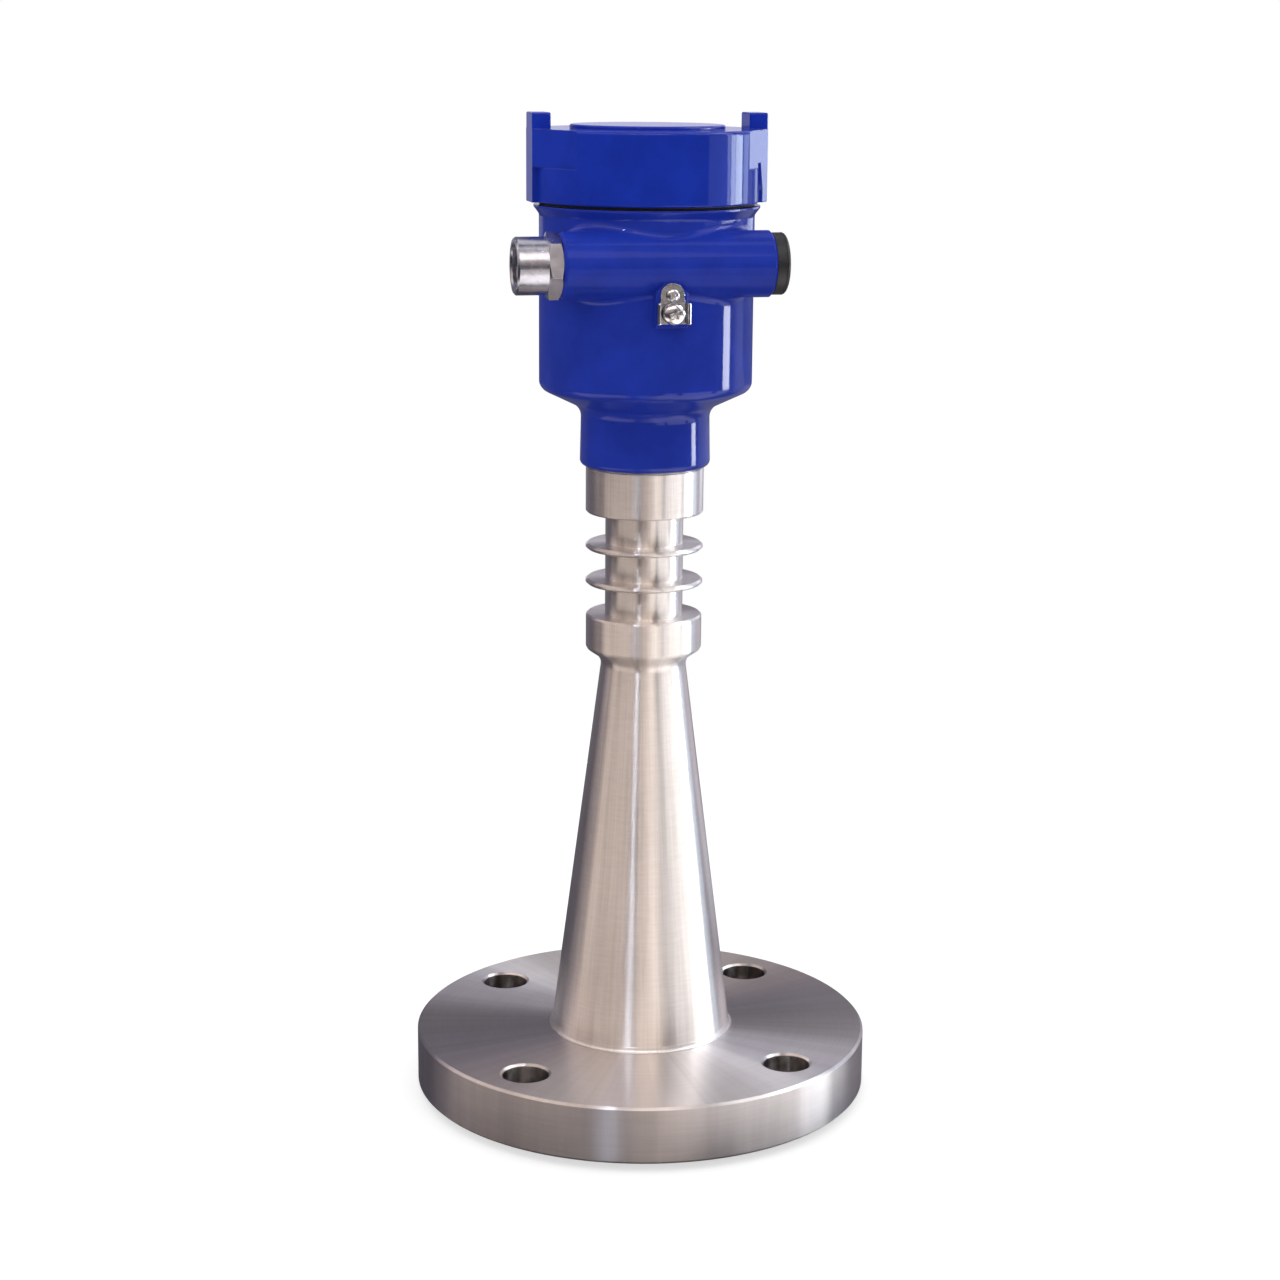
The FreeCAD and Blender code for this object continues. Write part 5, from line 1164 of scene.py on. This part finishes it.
@dataclass(frozen=True)
class Pool(Patch):
    """A patch of painted light on the floor, which only reflections show.

    Attributes:
        near: Distance from the object's axis where it begins.
    """

    near: float


PANELS = (
    Panel(-36.0, 68.0, 12.0, (0.47, 0.385, 0.32), 14.0, 74.0),
    Panel(70.0, 17.0, 4.0, (0.95, 0.93, 0.94), 12.0, 26.0),
    Panel(70.0, 17.0, 6.0, (2.00, 1.96, 1.98), 30.0, 74.0),
    Panel(-45.0, 22.0, 5.0, (1.15, 1.03, 0.95), 31.0, 50.0),
    Panel(28.0, 7.0, 1.5, (1.65, 1.47, 1.28), -30.0, -9.6),
    Panel(-17.0, 1.4, 0.8, (33.0, 35.0, 41.0), 34.0, 46.0),
    Panel(11.0, 17.0, 4.0, (2.90, 2.62, 2.40), 31.0, 54.0),
    Panel(60.0, 18.0, 1.5, (1.90, 1.83, 1.82), -30.0, -9.6),
    Panel(96.5, 5.0, 0.4, (18.0, 18.5, 19.5), -7.5, -4.0),
    Panel(75.0, 11.0, 1.5, (0.7, 0.8, 0.8), -3.6, 0.5),
    Panel(88.5, 1.6, 0.8, (4.4, 5.0, 5.2), -3.8, 0.5),
    Panel(94.5, 2.8, 0.8, (10.5, 11.8, 12.6), -3.8, 0.5),
    Panel(103.5, 5.0, 0.8, (13.5, 15.4, 15.8), -3.6, 0.5),
    Panel(115.0, 4.0, 0.8, (3.2, 3.9, 4.7), -3.4, 0.5),
    Panel(95.0, 9.0, 2.0, (6.4, 6.6, 7.1), 2.0, 9.0),
    Panel(97.0, 13.0, 4.0, (5.0, 5.05, 5.2), 31.0, 48.0),
    Panel(94.0, 9.0, 1.5, (1.9, 1.95, 2.1), -40.0, -11.0),
    Panel(120.0, 6.0, 5.0, (0.62, 0.65, 0.78), -26.0, 60.0),
    Panel(147.0, 12.0, 1.0, (0.75, 0.78, 0.86), -3.6, 60.0),
    Panel(146.0, 9.0, 0.6, (1.7, 1.95, 2.4), -4.2, 1.5),
    Panel(-88.0, 12.0, 6.0, (0.36, 0.30, 0.27), 8.0, 60.0),
    Panel(-112.0, 9.0, 5.0, (0.85, 0.72, 0.72), 8.0, 60.0),
    Panel(-156.0, 10.0, 1.0, (0.40, 0.40, 0.45), -4.2, 1.0),
    Panel(180.0, 16.0, 1.0, (0.80, 0.79, 0.84), 0.2, 9.0),
    Panel(180.0, 50.0, 5.0, (0.14, 0.13, 0.16), 2.0, 46.0),
    Panel(152.0, 10.0, 6.0, (0.46, 0.44, 0.48), 14.0, 44.0),
    Panel(178.0, 30.0, 8.0, (1.00, 0.96, 0.94), 52.0, 84.0),
)
# Painted pools of light on the floor, seen only in reflections and starting some way out from the
# object.
POOLS = (
    Pool(-55.0, 28.0, 15.0, (1.75, 1.50, 1.30), 0.17),
    Pool(6.0, 8.0, 14.0, (0.95, 0.80, 0.69), 0.13),
    Pool(55.0, 28.0, 26.0, (2.25, 2.13, 2.05), 0.11),
    Pool(150.0, 14.0, 12.0, (0.45, 0.45, 0.52), 0.17),
)


@dataclass(frozen=True)
class Studio:
    """Camera, white surroundings, panels of light and floor.

    Attributes:
        eye: Place of the camera.
        tilt: Its downward tilt in degrees.
        roll: Its roll in degrees.
        lens: Its focal length on a 36 mm sensor, in millimetres.
        floor_radius: Radius of the floor.
        floor_drop: How far the floor lies under the object.
    """

    eye: tuple[float, float, float] = (-0.21848, -1.02119, 0.4355)
    tilt: float = 13.01
    roll: float = 0.443
    lens: float = 72.63
    floor_radius: float = 0.62
    floor_drop: float = 0.0001

    def build(self) -> None:
        """Sets up the whole studio."""
        self.set_camera()
        self.light_world()
        self.lay_floor()
        self.stand_flag()
        bpy.context.scene.view_settings.view_transform = "Standard"
        LOG.info("studio ready")

    def set_camera(self) -> None:
        """Puts the camera where the photograph was taken from."""
        dip, lean, turn = (math.radians(part) for part in (self.tilt, self.roll, PHOTO_TURN))
        forward = Vector((0.0, math.cos(dip), -math.sin(dip)))
        level = Vector((1.0, 0.0, 0.0))
        upright = Vector((0.0, math.sin(dip), math.cos(dip)))
        right = math.cos(lean) * level + math.sin(lean) * upright
        above = math.cos(lean) * upright - math.sin(lean) * level
        spin = Matrix.Rotation(turn, 3, "Z")
        columns = [spin @ axis for axis in (right, above, -forward)]
        data = bpy.data.cameras.new("photo_camera")
        data.lens = self.lens
        data.sensor_width = 36.0
        data.clip_start = 0.01
        camera = bpy.data.objects.new("photo_camera", data)
        camera.matrix_world = Matrix.Translation(self.eye) @ Matrix(columns).transposed().to_4x4()
        bpy.context.scene.collection.objects.link(camera)
        bpy.context.scene.camera = camera

    def light_world(self) -> None:
        """White background for the camera, panels of light for everything else."""
        world = bpy.data.worlds.new("studio_world")
        world.use_nodes = True
        bpy.context.scene.world = world
        graph = Graph(world.node_tree)
        x, y, z = graph.split(graph.node("TexCoord").outputs["Generated"])
        height = graph.math("DEGREES", graph.math("ARCSINE", z))
        light = graph.join(*STUDIO_DARK)
        for panel in PANELS:
            mask = graph.times(panel.sector(graph, x, y),
                               graph.band(height, panel.low, panel.high, panel.soft))
            light = graph.plus(light, graph.scaled(panel.light, mask))
        seen, mirrored = graph.rays()
        plain = graph.smooth(height, -25.0, 80.0, 0.62, 1.15)
        colour = graph.mix(mirrored, graph.join(plain, plain, plain), light)
        colour = graph.mix(seen, colour, (1.0, 1.0, 1.0))
        graph.finish(graph.node("Background", {"Color": colour}), "OutputWorld")
        world.cycles.sampling_method = "NONE"

    def lay_floor(self) -> None:
        """A round pale floor that keeps the object's shadow; reflections see it dark with painted
        shade, lit by painted pools of light.
        """
        shape = bmesh.new()
        bmesh.ops.create_circle(shape, cap_ends=True, segments=128, radius=self.floor_radius)
        material, graph = new_material("floor_paper")
        place = graph.place()
        x, y, _ = graph.split(place)
        radius = graph.hypotenuse(x, y)
        seen, mirrored = graph.rays()
        fibre = graph.mix(graph.noise(place, 240.0, 4.0), (0.47, 0.47, 0.47), (0.53, 0.53, 0.53))
        # Painted shade: reflections see the floor near-black instead of pale.
        paper = graph.node("BsdfDiffuse", {"Color": graph.mix(mirrored, fibre, FLOOR_SHADE_IN_REFLECTIONS)})
        # Painted light: pools glowing on the floor for reflections only; the camera sees the floor
        # evenly white.
        pools = graph.join(0.0, 0.0, 0.0)
        for pool in POOLS:
            mask = graph.times(pool.sector(graph, x, y),
                               graph.smooth(radius, pool.near, 2.0 * pool.near))
            pools = graph.plus(pools, graph.scaled(pool.light, mask))
        white = graph.times(seen, FLOOR_GLOW)
        shown = graph.plus(graph.scaled(pools, mirrored), graph.join(white, white, white))
        glow = graph.node("Emission", {"Color": shown})
        graph.finish(graph.node("AddShader", {0: paper.outputs[0], 1: glow.outputs[0]}))
        floor = finish_mesh("studio_floor", shape, material)
        floor.location.z = -self.floor_drop

    def stand_flag(self) -> None:
        """A dark flag behind the object for the flange's top to mirror."""
        side, height, distance = 0.65, 0.225, 0.42
        shape = bmesh.new()
        turn = Matrix.Rotation(math.radians(PHOTO_TURN), 3, "Z")
        outline = ((-side, 0.0), (side, 0.0), (side, height), (-side, height))
        shape.faces.new([shape.verts.new(turn @ Vector((across, distance, up)))
                         for across, up in outline])
        material, graph = new_material("flag_cloth")
        weave = graph.mix(graph.noise(graph.place(), 3.0), *FLAG_WEAVE)
        lit = graph.smooth(graph.split(graph.place())[0], 0.08, 0.5)
        graph.finish(graph.node("Emission", {"Color": graph.mix(lit, weave, FLAG_LIT)}))
        flag = finish_mesh("studio_flag", shape, material)
        flag.visible_camera = False
        flag.visible_shadow = False
        flag.visible_diffuse = False


def corners(box: Iterable[Iterable[float]]) -> list[list[float]]:
    """A box as plain lists of numbers."""
    return [[float(value) for value in corner] for corner in box]


def main() -> None:
    """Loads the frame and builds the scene."""
    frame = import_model()
    Studio().build()
    finishes = make_finishes()
    for kind in (ProcessFitting, FieldHousing, ScrewedLid, CableEntry, EarthTerminal):
        kind(frame, finishes).build()
        LOG.info("finished %s", kind.__name__)


if __name__ == "__main__":
    logging.basicConfig(level=logging.INFO, format="%(message)s")
    main()
